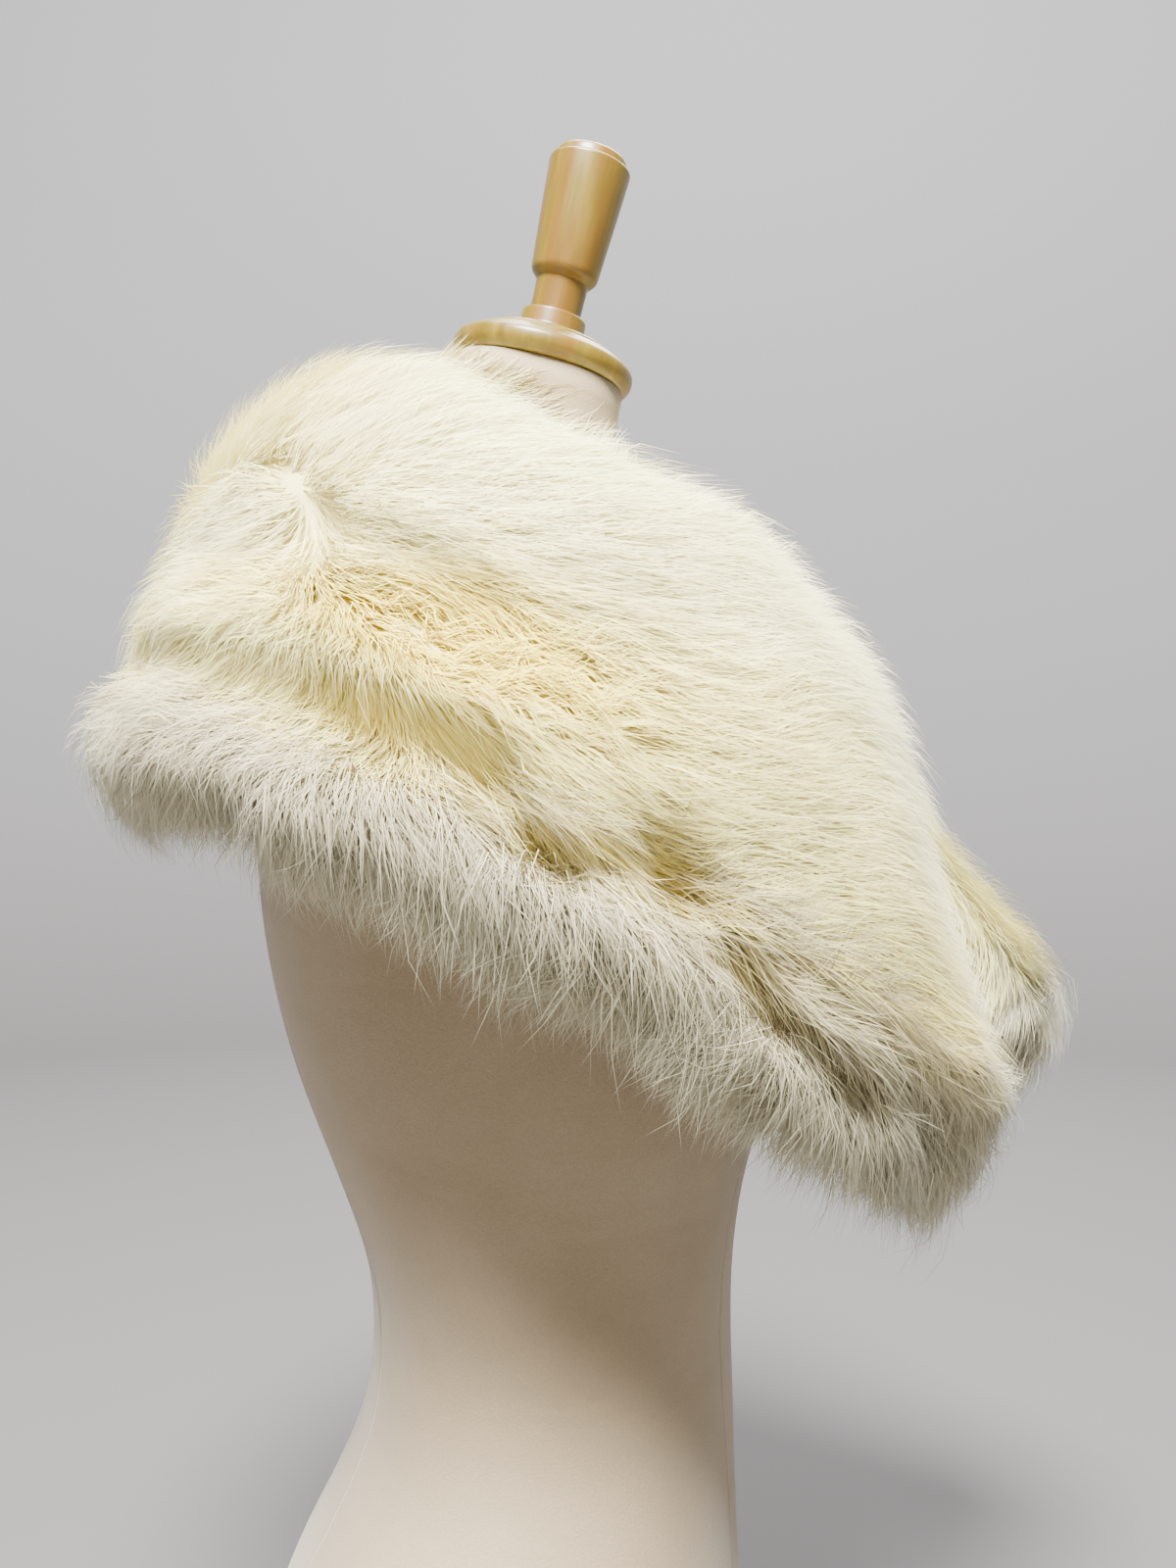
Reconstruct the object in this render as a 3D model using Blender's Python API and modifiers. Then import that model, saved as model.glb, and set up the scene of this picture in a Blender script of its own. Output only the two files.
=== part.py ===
"""White fox fur collar wrap, worn on a limbless dress form with a turned wooden neck cap and knob.

Frame: +X is the front of the form, +Y the wearer's left, +Z up. The origin is the middle of the form's
flat underside, below the middle of its waist. The tables are in millimetres and degrees.
Angles go round the wrap's own upright axis: 0 is the front, 180 the centre back, and every band is worked
out for one side of the body and turned to its own side by SIDES.
"""

import math

import bmesh
import bpy
from mathutils import Vector

MM = 0.001

# ---------------------------------------------------------------- dress form

FORM_POINTS = 40          # points round each ring of the torso
FORM_SQUARE = 2.15        # superellipse power of the rings, 2 is an ellipse
FORM_RING_STEP = 19.0     # height between rings of the mesh

# height of the ring's middle, back and front reach along X, half width along Y, forward lean of its plane
FORM_RINGS = (
    # z,     back,  front, half, lean
    (0.0,   -136.0, 96.0, 171.0, 0.0),
    (40.0,  -145.0, 96.0, 173.0, 0.0),
    (90.0,  -149.0, 95.0, 171.0, 0.0),
    (140.0, -135.0, 93.0, 161.0, 0.0),
    (190.0, -110.0, 91.0, 143.0, 0.0),
    (235.0,  -93.0, 90.0, 124.0, 0.0),
    (270.0,  -90.0, 89.0, 117.0, 0.0),
    (305.0,  -93.0, 90.0, 119.0, 0.0),
    (350.0, -109.0, 97.0, 127.0, 0.0),
    (396.0, -127.0, 113.0, 138.0, 0.0),
    (440.0, -139.0, 130.0, 147.0, 0.0),
    (480.0, -145.0, 129.0, 154.0, 0.0),
    (520.0, -145.0, 114.0, 167.0, 0.0),
    (555.0, -140.0, 97.0, 178.0, 0.0),
    (590.0, -131.0, 79.0, 182.0, 0.0),
    (618.0, -119.0, 64.0, 175.0, 0.0),
    (640.0, -106.0, 51.0, 153.0, 0.0),
    (657.0,  -94.0, 43.0, 124.0, 1.0),
    (671.0,  -83.0, 38.0, 93.0, 3.0),
    (685.0,  -71.0, 34.0, 64.0, 6.0),
    (702.0,  -60.0, 31.5, 45.0, 10.0),
    (721.0,  -53.0, 31.5, 41.5, 13.0),
)
CAP_LEAN = 13.5                      # neck cap and knob lean forward by this
CAP_CENTRE = (-6.0, 0.0, 749.0)      # middle of the cap's rim
NECK_TOP_RADIUS = 43.5
SEAM_GAP = 0.4                       # clear space between pieces that meet

# ---------------------------------------------------------------- turned wood, radius and height from the rim's middle

CAP_STEPS = 40
CAP_PROFILE = (
    # radius, height
    (0.0, 25.0),
    (15.2, 25.0),
    (16.8, 23.2),
    (17.0, 16.5),
    (19.0, 14.6),
    (32.5, 11.6),
    (33.5, 9.6),
    (38.5, 8.2),
    (43.5, 5.6),
    (46.2, 2.0),
    (46.8, -1.2),
    (45.8, -4.6),
    (43.6, -6.6),
    (41.0, -7.0),
    (0.0, -7.0),
)
KNOB_PROFILE = (
    # radius, height above the boss
    (0.0, 84.0),
    (16.4, 84.0),
    (17.8, 82.8),
    (18.3, 79.2),
    (20.4, 78.6),
    (21.1, 76.8),
    (19.9, 58.0),
    (17.4, 21.6),
    (16.9, 19.2),
    (15.6, 17.6),
    (13.2, 17.4),
    (13.0, 15.8),
    (13.0, 0.0),
    (0.0, 0.0),
)

# ---------------------------------------------------------------- fur wrap

WRAP_AXIS_X = -20.0       # the upright axis that the angles turn about
FRONT_ANGLE = 4.0         # where the two front edges stand
BACK_ANGLE = 179.9        # just short of the centre back seam
BAND_STATIONS = 24        # sections along a band
FORM_CLEARANCE = 4.0      # between the pelts' skin side and the form
THINNEST_FUR = 4.0        # where the pelt is pressed close to the neck
LIP = 0.35                # how far a free edge bulges, as a share of the wall's thickness
SECTION_NAMES = ("neck", "crown", "shoulder", "parting", "ridge", "roll", "hem")
# share of the reach at each of those names
DEPTH_SHARES = ((0.55,), (0.72,), (0.85,), (0.95,), (1.0,), (1.05,), (0.9,))
PARTING = 3 / 6           # seam between the collar band and the shoulder band
RIDGE = 4 / 6             # seam between the shoulder band and the hem band

# Outer reach of the fur, as radius and height pairs down one section for each angle from the front.
# reach is how deep the fur and its skin are there.
BACK_AND_SIDE = (
    # angle, neck,      crown,      shoulder,   parting,    ridge,      roll,       hem,        reach
    (180.0, (50, 742), (98, 738), (150, 694), (178, 640), (194, 588), (204, 550), (184, 516), 44.0),
    (150.0, (49, 741), (98, 736), (150, 692), (177, 638), (193, 586), (206, 549), (186, 516), 44.0),
    (120.0, (49, 733), (104, 725), (166, 684), (194, 628), (209, 574), (224, 540), (202, 510), 44.0),
    (90.0,  (52, 718), (110, 708), (184, 668), (216, 612), (232, 534), (240, 502), (218, 464), 42.0),
    (65.0,  (55, 701), (108, 684), (176, 650), (212, 590), (233, 482), (236, 444), (214, 400), 42.0),
)
RIGHT_FRONT = (
    (40.0,  (58, 690), (108, 668), (160, 642), (208, 564), (236, 426), (234, 394), (212, 358), 44.0),
    (20.0,  (62, 684), (108, 662), (154, 642), (208, 548), (234, 404), (230, 370), (210, 338), 46.0),
    (4.0,   (66, 680), (106, 660), (146, 640), (198, 550), (216, 408), (212, 378), (196, 350), 44.0),
)
LEFT_FRONT = (
    (40.0,  (58, 690), (108, 668), (160, 642), (208, 570), (262, 456), (272, 418), (252, 380), 44.0),
    (20.0,  (62, 684), (108, 662), (154, 642), (212, 564), (298, 452), (318, 414), (294, 368), 48.0),
    (4.0,   (66, 680), (106, 660), (146, 640), (200, 562), (268, 452), (284, 416), (260, 374), 46.0),
)

# soft folds and ridges on the fur: where each runs, how wide it is and how far it lifts the surface
FOLDS = (
    # from angle, from v, to angle, to v, width, lift
    (165.0, 0.52, 128.0, 0.50, 22.0, -5.0),
    (128.0, 0.50, 92.0, 0.515, 24.0, -7.0),
    (92.0, 0.515, 66.0, 0.50, 26.0, -5.0),
    (150.0, 0.665, 104.0, 0.675, 20.0, -10.0),
    (104.0, 0.675, 74.0, 0.665, 22.0, -12.0),
    (74.0, 0.665, 58.0, 0.70, 20.0, -10.0),
    (58.0, 0.70, 38.0, 0.735, 18.0, -11.0),
    (128.0, 0.60, 84.0, 0.61, 30.0, 6.0),
    (60.0, 0.56, 26.0, 0.70, 34.0, 8.0),
    (24.0, 0.62, 12.0, 0.86, 18.0, -8.0),
)

BANDS = (
    # name, from v, to v, columns, edges besides the front that are free
    ("collar_band", 0.0, PARTING, 8, ("neck",)),
    ("shoulder_band", PARTING, RIDGE, 4, ()),
    ("hem_band", RIDGE, 1.0, 6, ("hem",)),
)
SIDES = (
    # name, side, front rows
    ("right", -1, RIGHT_FRONT),
    ("left", 1, LEFT_FRONT),
)


def catmull_rom(values, keys, key):
    """Smooth value at key through rows of numbers whose keys may be unevenly spaced."""
    last = len(keys) - 1
    index = 0
    while index < last - 1 and key > keys[index + 1]:
        index += 1
    before = max(index - 1, 0)
    after = min(index + 2, last)
    span = keys[index + 1] - keys[index]
    t = (key - keys[index]) / span
    result = []
    for column in range(len(values[0])):
        a, b = values[index][column], values[index + 1][column]
        slope_a = (b - values[before][column]) / (keys[index + 1] - keys[before]) * span
        slope_b = (values[after][column] - a) / (keys[after] - keys[index]) * span
        result.append(
            a * (2 * t**3 - 3 * t**2 + 1)
            + slope_a * (t**3 - 2 * t**2 + t)
            + b * (3 * t**2 - 2 * t**3)
            + slope_b * (t**3 - t**2)
        )
    return result


def clear_scene():
    for old in list(bpy.data.objects):
        bpy.data.objects.remove(old, do_unlink=True)


def new_material(name, colour, roughness):
    material = bpy.data.materials.new(name)
    material.use_nodes = True
    shader = material.node_tree.nodes["Principled BSDF"]
    shader.inputs["Base Color"].default_value = (*colour, 1.0)
    shader.inputs["Roughness"].default_value = roughness
    shader.inputs["Metallic"].default_value = 0.0
    return material


def add_object(name, mesh, collection, material, smooth_angle=40.0):
    mesh.materials.append(material)
    mesh.shade_smooth()
    mesh.set_sharp_from_angle(angle=math.radians(smooth_angle))
    made = bpy.data.objects.new(name, mesh)
    collection.objects.link(made)
    return made


def mesh_from_bmesh(name, work):
    bmesh.ops.recalc_face_normals(work, faces=work.faces)
    mesh = bpy.data.meshes.new(name)
    work.to_mesh(mesh)
    work.free()
    return mesh


# ---------------------------------------------------------------- dress form


def form_ring(height):
    """Back, front, half width and lean of the torso's ring at a height."""
    keys = [row[0] for row in FORM_RINGS]
    return catmull_rom([row[1:] for row in FORM_RINGS], keys, height)


def ring_point(centre, half_depth, half_width, lean, turn):
    """One point of a superellipse ring whose plane leans forward."""
    power = 2.0 / FORM_SQUARE
    along = math.copysign(abs(math.cos(turn)) ** power, math.cos(turn)) * half_depth
    across = math.copysign(abs(math.sin(turn)) ** power, math.sin(turn)) * half_width
    tilt = math.radians(lean)
    return Vector((
        centre.x + along * math.cos(tilt),
        centre.y + across,
        centre.z - along * math.sin(tilt),
    ))


def cap_place(height):
    """A point on the leaning axis of the cap and knob, at a height above the rim's middle."""
    tilt = math.radians(CAP_LEAN)
    centre = Vector(CAP_CENTRE)
    return centre + Vector((math.sin(tilt), 0.0, math.cos(tilt))) * height


def make_torso(collection, material):
    work = bmesh.new()
    rings = []
    top_key = FORM_RINGS[-1][0]
    count = round(top_key / FORM_RING_STEP)
    for step in range(count + 1):
        height = top_key * step / count
        back, front, half, lean = form_ring(height)
        centre = Vector(((back + front) / 2, 0.0, height))
        rings.append((centre, (front - back) / 2, half, lean))
    neck_top = cap_place(CAP_PROFILE[-1][1] - SEAM_GAP)
    rings.append((neck_top, NECK_TOP_RADIUS, NECK_TOP_RADIUS - 1.5, CAP_LEAN))
    loops = []
    for centre, depth, half, lean in rings:
        loop = []
        for index in range(FORM_POINTS):
            turn = 2 * math.pi * index / FORM_POINTS
            loop.append(work.verts.new(ring_point(centre, depth, half, lean, turn) * MM))
        loops.append(loop)
    for lower, upper in zip(loops, loops[1:]):
        for index in range(FORM_POINTS):
            after = (index + 1) % FORM_POINTS
            work.faces.new((lower[index], lower[after], upper[after], upper[index]))
    work.faces.new(list(reversed(loops[0])))
    work.faces.new(loops[-1])
    return add_object("form_torso", mesh_from_bmesh("form_torso", work), collection, material)


def inside_form(point, clearance):
    """True where a point in millimetres is inside the torso grown by the clearance."""
    if point.z > FORM_RINGS[-1][0]:
        return math.hypot(point.x - CAP_CENTRE[0], point.y) < NECK_TOP_RADIUS + 4.0 + clearance
    back, front, half, lean = form_ring(max(point.z, 0.0))
    middle = (back + front) / 2
    leaned = point.z + (point.x - middle) * math.tan(math.radians(lean))
    back, front, half, lean = form_ring(min(max(leaned, 0.0), FORM_RINGS[-1][0]))
    along = abs(point.x - (back + front) / 2) / ((front - back) / 2 + clearance)
    across = abs(point.y) / (half + clearance)
    return along**FORM_SQUARE + across**FORM_SQUARE < 1.0


# ---------------------------------------------------------------- turned wood


def make_turned(name, profile, foot, collection, material):
    """A turned piece: its outline runs down its outer side and is spun by a Screw modifier."""
    mesh = bpy.data.meshes.new(name)
    points = [(radius * MM, 0.0, height * MM) for radius, height in profile]
    edges = [(index, index + 1) for index in range(len(points) - 1)]
    mesh.from_pydata(points, edges, [])
    made = bpy.data.objects.new(name, mesh)
    collection.objects.link(made)
    made.location = foot * MM
    made.rotation_euler = (0.0, math.radians(CAP_LEAN), 0.0)
    screw = made.modifiers.new("turn", "SCREW")
    screw.steps = CAP_STEPS
    screw.render_steps = CAP_STEPS
    screw.use_merge_vertices = True
    screw.merge_threshold = 0.00005
    screw.use_smooth_shade = True
    mesh.materials.append(material)
    return made


# ---------------------------------------------------------------- fur wrap


def section_rows(front_rows):
    """All rows of one side from the front to the centre back, with one mirrored row past the back."""
    rows = list(reversed(front_rows)) + list(reversed(BACK_AND_SIDE))
    behind = (360.0 - rows[-2][0], *rows[-2][1:])
    return rows + [behind]


def fold_lift(angle, v):
    """How far the folds lift the fur's surface at an angle and a place down the section."""
    across_scale = 3.4          # millimetres of the surface for each degree
    down_scale = 430.0          # millimetres down the whole section
    lift = 0.0
    for from_angle, from_v, to_angle, to_v, width, height in FOLDS:
        start = Vector((from_angle * across_scale, from_v * down_scale))
        end = Vector((to_angle * across_scale, to_v * down_scale))
        here = Vector((angle * across_scale, v * down_scale))
        run = end - start
        t = min(max((here - start).dot(run) / run.length_squared, 0.0), 1.0)
        away = (here - (start + run * t)).length / width
        lift += height * math.exp(-away * away)
    return lift


def outer_point(rows, side, angle, v):
    """Point on the fur's outer reach in millimetres, and the reach there."""
    keys = [row[0] for row in rows]
    flat = []
    for row in rows:
        numbers = [number for pair in row[1:-1] for number in pair]
        flat.append(numbers + [row[-1]])
    values = catmull_rom(flat, keys, angle)
    pairs = [(values[2 * index], values[2 * index + 1]) for index in range(len(SECTION_NAMES))]
    lengths = [0.0]
    for (radius_a, height_a), (radius_b, height_b) in zip(pairs, pairs[1:]):
        lengths.append(lengths[-1] + math.hypot(radius_b - radius_a, height_b - height_a))
    spans = len(pairs) - 1
    index = min(int(v * spans), spans - 1)
    along = lengths[index] + (v * spans - index) * (lengths[index + 1] - lengths[index])
    radius, height = catmull_rom(pairs, lengths, along)
    turn = math.radians(angle)
    point = Vector((WRAP_AXIS_X + radius * math.cos(turn), side * radius * math.sin(turn), height))
    return point, values[-1]


def fur_depth(reach, v):
    """The fur is shorter at the neck and lies deepest on the hem's roll."""
    places = [index / (len(DEPTH_SHARES) - 1) for index in range(len(DEPTH_SHARES))]
    return reach * catmull_rom(DEPTH_SHARES, places, v)[0]


def wall_points(rows, side, angle, v):
    """Outer and inner points of the pelt at an angle and a place down its section, and the way down."""
    point, reach = outer_point(rows, side, angle, v)
    step_angle = 1.0
    step_v = 0.01
    ahead = outer_point(rows, side, angle + step_angle, v)[0]
    behind = outer_point(rows, side, angle - step_angle, v)[0]
    above = outer_point(rows, side, angle, max(v - step_v, 0.0))[0]
    below = outer_point(rows, side, angle, min(v + step_v, 1.0))[0]
    normal = (below - above).cross(ahead - behind) * side
    normal.normalize()
    depth = fur_depth(reach, v)
    lifted = point + normal * fold_lift(angle, v)
    inner = lifted - normal * depth
    while depth > THINNEST_FUR and inside_form(inner, FORM_CLEARANCE):
        depth -= 1.0
        inner = lifted - normal * depth
    return own_side(lifted, side), own_side(inner, side), (below - above).normalized()


def own_side(point, side):
    """The point moved, where it has to be, to its own side of the middle plane."""
    return Vector((point.x, side * max(side * point.y, SEAM_GAP), point.z))


def band_wall(name, grid, free, collection, material):
    """A closed fur wall over a patch of the wrap; free names the edges that end in a rounded lip."""
    rows, side, angles, places = grid
    work = bmesh.new()
    outer = []
    inner = []
    for angle in angles:
        outer_row = []
        inner_row = []
        for v in places:
            out, inn, down = wall_points(rows, side, angle, v)
            back_off = Vector((0.0, 0.0, 0.0))
            if v == places[0] and "neck" not in free:
                back_off = down * SEAM_GAP / 2
            if v == places[-1] and "hem" not in free:
                back_off = -down * SEAM_GAP / 2
            outer_row.append(work.verts.new((out + back_off) * MM))
            inner_row.append(work.verts.new((inn + back_off) * MM))
        outer.append(outer_row)
        inner.append(inner_row)
    last_i = len(angles) - 1
    last_j = len(places) - 1
    for i in range(last_i):
        for j in range(last_j):
            work.faces.new((outer[i][j], outer[i + 1][j], outer[i + 1][j + 1], outer[i][j + 1]))
            work.faces.new((inner[i][j], inner[i][j + 1], inner[i + 1][j + 1], inner[i + 1][j]))
    edges = {
        "front": [(0, j) for j in range(last_j + 1)],
        "neck": [(i, 0) for i in range(last_i + 1)],
        "back": [(last_i, j) for j in range(last_j + 1)],
        "hem": [(i, last_j) for i in range(last_i + 1)],
    }
    inward = {"front": (1, 0), "neck": (0, 1), "back": (-1, 0), "hem": (0, -1)}
    lips = {}
    for edge in free:
        di, dj = inward[edge]
        for i, j in edges[edge]:
            out, inn = outer[i][j].co, inner[i][j].co
            away = (out - outer[i + di][j + dj].co).normalized()
            push = away * (out - inn).length * LIP
            if (i, j) in lips:
                lips[(i, j)].co += push
            else:
                lips[(i, j)] = work.verts.new((out + inn) / 2 + push)
    for lip in lips.values():
        lip.co = own_side(lip.co / MM, side) * MM
    closed = set()
    for edge, cells in edges.items():
        for (ai, aj), (bi, bj) in zip(cells, cells[1:]):
            a, b = (ai, aj), (bi, bj)
            if edge in free:
                work.faces.new((outer[ai][aj], outer[bi][bj], lips[b], lips[a]))
                work.faces.new((lips[a], lips[b], inner[bi][bj], inner[ai][aj]))
            else:
                # both bands at a seam split their wall along the same diagonal, so the gap stays even
                work.faces.new((outer[ai][aj], outer[bi][bj], inner[bi][bj]))
                work.faces.new((outer[ai][aj], inner[bi][bj], inner[ai][aj]))
                for i, j in (a, b):
                    if (i, j) in lips and (i, j) not in closed:
                        work.faces.new((outer[i][j], inner[i][j], lips[(i, j)]))
                        closed.add((i, j))
    bmesh.ops.triangulate(work, faces=work.faces)
    return add_object(name, mesh_from_bmesh(name, work), collection, material)


def spread(start, end, count):
    return [start + (end - start) * index / count for index in range(count + 1)]


def make_wrap(collection, material_of):
    for side_name, side, front_rows in SIDES:
        rows = section_rows(front_rows)
        angles = spread(FRONT_ANGLE, BACK_ANGLE, BAND_STATIONS)
        for band_name, from_v, to_v, columns, free in BANDS:
            name = f"{band_name}_{side_name}"
            places = spread(from_v, to_v, columns)
            grid = (rows, side, angles, places)
            band_wall(name, grid, ("front", *free), collection, material_of[band_name])


def main():
    clear_scene()
    collection = bpy.data.collections.new("fur_collar_wrap_on_dress_form")
    bpy.context.scene.collection.children.link(collection)
    jersey = new_material("form_jersey", (0.72, 0.60, 0.45), 0.9)
    wood = new_material("turned_wood", (0.62, 0.45, 0.24), 0.4)
    furs = {
        "collar_band": new_material("collar_fur", (0.93, 0.90, 0.80), 0.85),
        "shoulder_band": new_material("shoulder_fur", (0.90, 0.83, 0.64), 0.85),
        "hem_band": new_material("hem_fur", (0.88, 0.86, 0.78), 0.85),
    }
    make_torso(collection, jersey)
    make_turned("neck_cap", CAP_PROFILE, cap_place(0.0), collection, wood)
    boss_top = cap_place(CAP_PROFILE[0][1] + SEAM_GAP)
    make_turned("cap_knob", KNOB_PROFILE, boss_top, collection, wood)
    make_wrap(collection, furs)


main()
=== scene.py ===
import math

import bmesh
import bpy
import numpy as np
from mathutils import Matrix, Vector
from mathutils.bvhtree import BVHTree


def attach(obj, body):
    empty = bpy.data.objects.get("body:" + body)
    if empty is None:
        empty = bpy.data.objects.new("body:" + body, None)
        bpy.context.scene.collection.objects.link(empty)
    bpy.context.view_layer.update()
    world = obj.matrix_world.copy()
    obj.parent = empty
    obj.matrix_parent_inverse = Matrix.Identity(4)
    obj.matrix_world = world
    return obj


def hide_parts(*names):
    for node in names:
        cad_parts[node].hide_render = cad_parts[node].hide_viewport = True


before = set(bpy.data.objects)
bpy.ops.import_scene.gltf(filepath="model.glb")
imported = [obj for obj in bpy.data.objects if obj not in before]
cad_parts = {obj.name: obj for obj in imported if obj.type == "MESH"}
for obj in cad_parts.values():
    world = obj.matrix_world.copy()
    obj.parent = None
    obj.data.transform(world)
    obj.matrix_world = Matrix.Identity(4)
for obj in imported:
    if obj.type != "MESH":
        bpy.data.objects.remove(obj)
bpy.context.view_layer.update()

# Tables are in millimetres and degrees, as the pattern is drawn. Everything built is in metres.
mm = 0.001
dice = np.random.default_rng(11)
bpy.ops.object.select_all(action="DESELECT")


def newGroup(name, inputs, outputs):
    group = bpy.data.node_groups.new(name, "ShaderNodeTree")
    for label, kind, value in inputs:
        socket = group.interface.new_socket(label, in_out="INPUT", socket_type=kind)
        socket.default_value = value
    for label, kind in outputs:
        group.interface.new_socket(label, in_out="OUTPUT", socket_type=kind)
    start = group.nodes.new("NodeGroupInput")
    end = group.nodes.new("NodeGroupOutput")
    return group, start, end


def newMaterial(name, **shaderValues):
    material = bpy.data.materials.new(name)
    material.use_nodes = True
    tree = material.node_tree
    shader = tree.nodes["Principled BSDF"]
    for label, value in shaderValues.items():
        shader.inputs[label.replace("_", " ")].default_value = value
    return material, tree, shader


# links maps an input's name or number to the socket that feeds it.
def addNode(tree, kind, values=None, links=None, **settings):
    node = tree.nodes.new(kind)
    for key, value in settings.items():
        setattr(node, key, value)
    for key, value in (values or {}).items():
        node.inputs[key].default_value = value
    for key, source in (links or {}).items():
        tree.links.new(source, node.inputs[key])
    return node


# One Math node; each operand is a socket or a number.
def maths(tree, operation, first, second=None):
    node = tree.nodes.new("ShaderNodeMath")
    node.operation = operation
    for index, operand in enumerate((first, second)):
        if isinstance(operand, bpy.types.NodeSocket):
            tree.links.new(operand, node.inputs[index])
        elif operand is not None:
            node.inputs[index].default_value = operand
    return node.outputs[0]


def mixColours(tree, share, first, second, blend="MIX"):
    node = tree.nodes.new("ShaderNodeMix")
    node.data_type = "RGBA"
    node.blend_type = blend
    for index, operand in ((0, share), (6, first), (7, second)):
        if isinstance(operand, bpy.types.NodeSocket):
            tree.links.new(operand, node.inputs[index])
        elif isinstance(operand, (int, float)):
            node.inputs[index].default_value = operand
        else:
            node.inputs[index].default_value = (*operand, 1.0)
    return node.outputs[2]


# A colour ramp over the stops, each a place and a colour.
def colourRamp(tree, source, stops):
    node = tree.nodes.new("ShaderNodeValToRGB")
    tree.links.new(source, node.inputs[0])
    ramp = node.color_ramp
    while len(ramp.elements) < len(stops):
        ramp.elements.new(0.5)
    for element, (place, colour) in zip(ramp.elements, stops):
        element.position = place
        element.color = (*colour, 1.0)
    return node.outputs[0]


# Each strand carries how far along it a point is, how warm the fur is there and its own chance.
def buildFurTone():
    group, start, end = newGroup(
        "furTone",
        (
            ("Along", "NodeSocketFloat", 0.5),
            ("Warmth", "NodeSocketFloat", 0.0),
            ("Chance", "NodeSocketFloat", 0.5),
            ("Root", "NodeSocketColor", (0.8, 0.7, 0.5, 1.0)),
            ("Tip", "NodeSocketColor", (0.9, 0.88, 0.8, 1.0)),
            ("Warm", "NodeSocketColor", (0.9, 0.7, 0.35, 1.0)),
            ("Cloudiness", "NodeSocketFloat", 0.25),
            ("Darkest", "NodeSocketFloat", 0.9),
            ("Unevenness", "NodeSocketFloat", 0.12),
        ),
        (("Colour", "NodeSocketColor"),),
    )
    values = start.outputs
    place = addNode(group, "ShaderNodeTexCoord")
    clouds = addNode(group, "ShaderNodeTexNoise", {"Scale": 14.0, "Detail": 3.0, "Roughness": 0.6},
                     {"Vector": place.outputs["Object"]})
    # Darker towards the root: the underfur's own warmer tone, and in the hem, whose roots are dark brown,
    # painted shade deep in the coat.
    coat = mixColours(group, values["Along"], values["Root"], values["Tip"])
    cloudShare = maths(group, "MULTIPLY", clouds.outputs["Fac"], values["Cloudiness"])
    coat = mixColours(group, cloudShare, coat, values["Warm"])
    coat = mixColours(group, values["Warmth"], coat, values["Warm"])
    # Each strand is darkened by its own random amount; the hem's low Darkest also paints shade into its whole
    # coat.
    darker = maths(group, "MULTIPLY", values["Chance"], values["Unevenness"])
    darker = maths(group, "ADD", darker, values["Darkest"])
    strand = addNode(group, "ShaderNodeCombineColor", links={0: darker, 1: darker, 2: darker})
    coat = mixColours(group, 1.0, coat, strand.outputs[0], "MULTIPLY")
    group.links.new(coat, end.inputs["Colour"])
    return group


def furMaterial(name, tone, root, tip, warm, cloudiness, darkest, unevenness):
    material, tree, shader = newMaterial(
        name, Roughness=0.62, Sheen_Weight=0.25, Sheen_Roughness=0.45, Specular_IOR_Level=0.25)
    shader.inputs["Sheen Tint"].default_value = (1.0, 0.98, 0.93, 1.0)
    strand = addNode(tree, "ShaderNodeAttribute", attribute_name="strand")
    parts = addNode(tree, "ShaderNodeSeparateColor", links={0: strand.outputs["Color"]})
    colour = addNode(tree, "ShaderNodeGroup", node_tree=tone)
    for label, output in (("Along", 0), ("Warmth", 1), ("Chance", 2)):
        tree.links.new(parts.outputs[output], colour.inputs[label])
    for label, value in (("Root", root), ("Tip", tip), ("Warm", warm)):
        colour.inputs[label].default_value = (*value, 1.0)
    colour.inputs["Cloudiness"].default_value = cloudiness
    colour.inputs["Darkest"].default_value = darkest
    colour.inputs["Unevenness"].default_value = unevenness
    tree.links.new(colour.outputs[0], shader.inputs["Base Color"])
    return material


furTone = buildFurTone()
furColours = {
    # root, tip, warm colour, cloudiness, darkest strand, unevenness
    "collar": ((0.88, 0.79, 0.36), (0.94, 0.90, 0.54), (0.92, 0.74, 0.15), 0.22, 0.90, 0.10),
    "shoulder": ((0.86, 0.76, 0.30), (0.93, 0.89, 0.47), (0.91, 0.73, 0.11), 0.24, 0.87, 0.14),
    # the hem's dark brown root colour and low darkest strand are painted shade: the shade between its locks
    # and under the turned hem
    "hem": ((0.39, 0.30, 0.18), (0.90, 0.86, 0.60), (0.86, 0.70, 0.26), 0.12, 0.37, 0.66),
}
furMaterials = {band: furMaterial(f"{band}Fur", furTone, *values) for band, values in furColours.items()}
print("fur materials made")


# The wrap is drawn as sections round an upright axis, one for each angle from the centre front.
wrapForm = {
    "axisX": -20.0,
    "front": 4.0,
    "back": 179.9,
    "angleStep": 1.2,
    "downSteps": 96,
    "acrossScale": 3.4,        # millimetres of the surface for each degree, for folds and clumps
    "downScale": 430.0,        # millimetres down the whole section
    "depthShares": (0.55, 0.72, 0.85, 0.95, 1.0, 1.05, 0.9),
    "formClearance": 5.0,
    "leastDepth": 3.0,
    "ridge": 4 / 6,
    "hemTrim": 0.045,          # the hem is cut higher at the side, round this angle
    "hemTrimAngle": 82.0,
    "hemTrimSpread": 28.0,
    "hemLine": 0.92,           # where the skin turns under; the hair reaches on to 1
    "unevenLift": 1.6,         # a slow unevenness of the whole coat that fades out near the neck
    "unevenAcross": (17.0, 40.0),
    "unevenDown": (14.0, 31.0),
    "unevenSway": (2.0, 1.5),
    "unevenRise": 4.0,
    "unevenStart": 0.4,
}
sectionNames = ("neck", "crown", "shoulder", "parting", "ridge", "roll", "hem")
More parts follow.
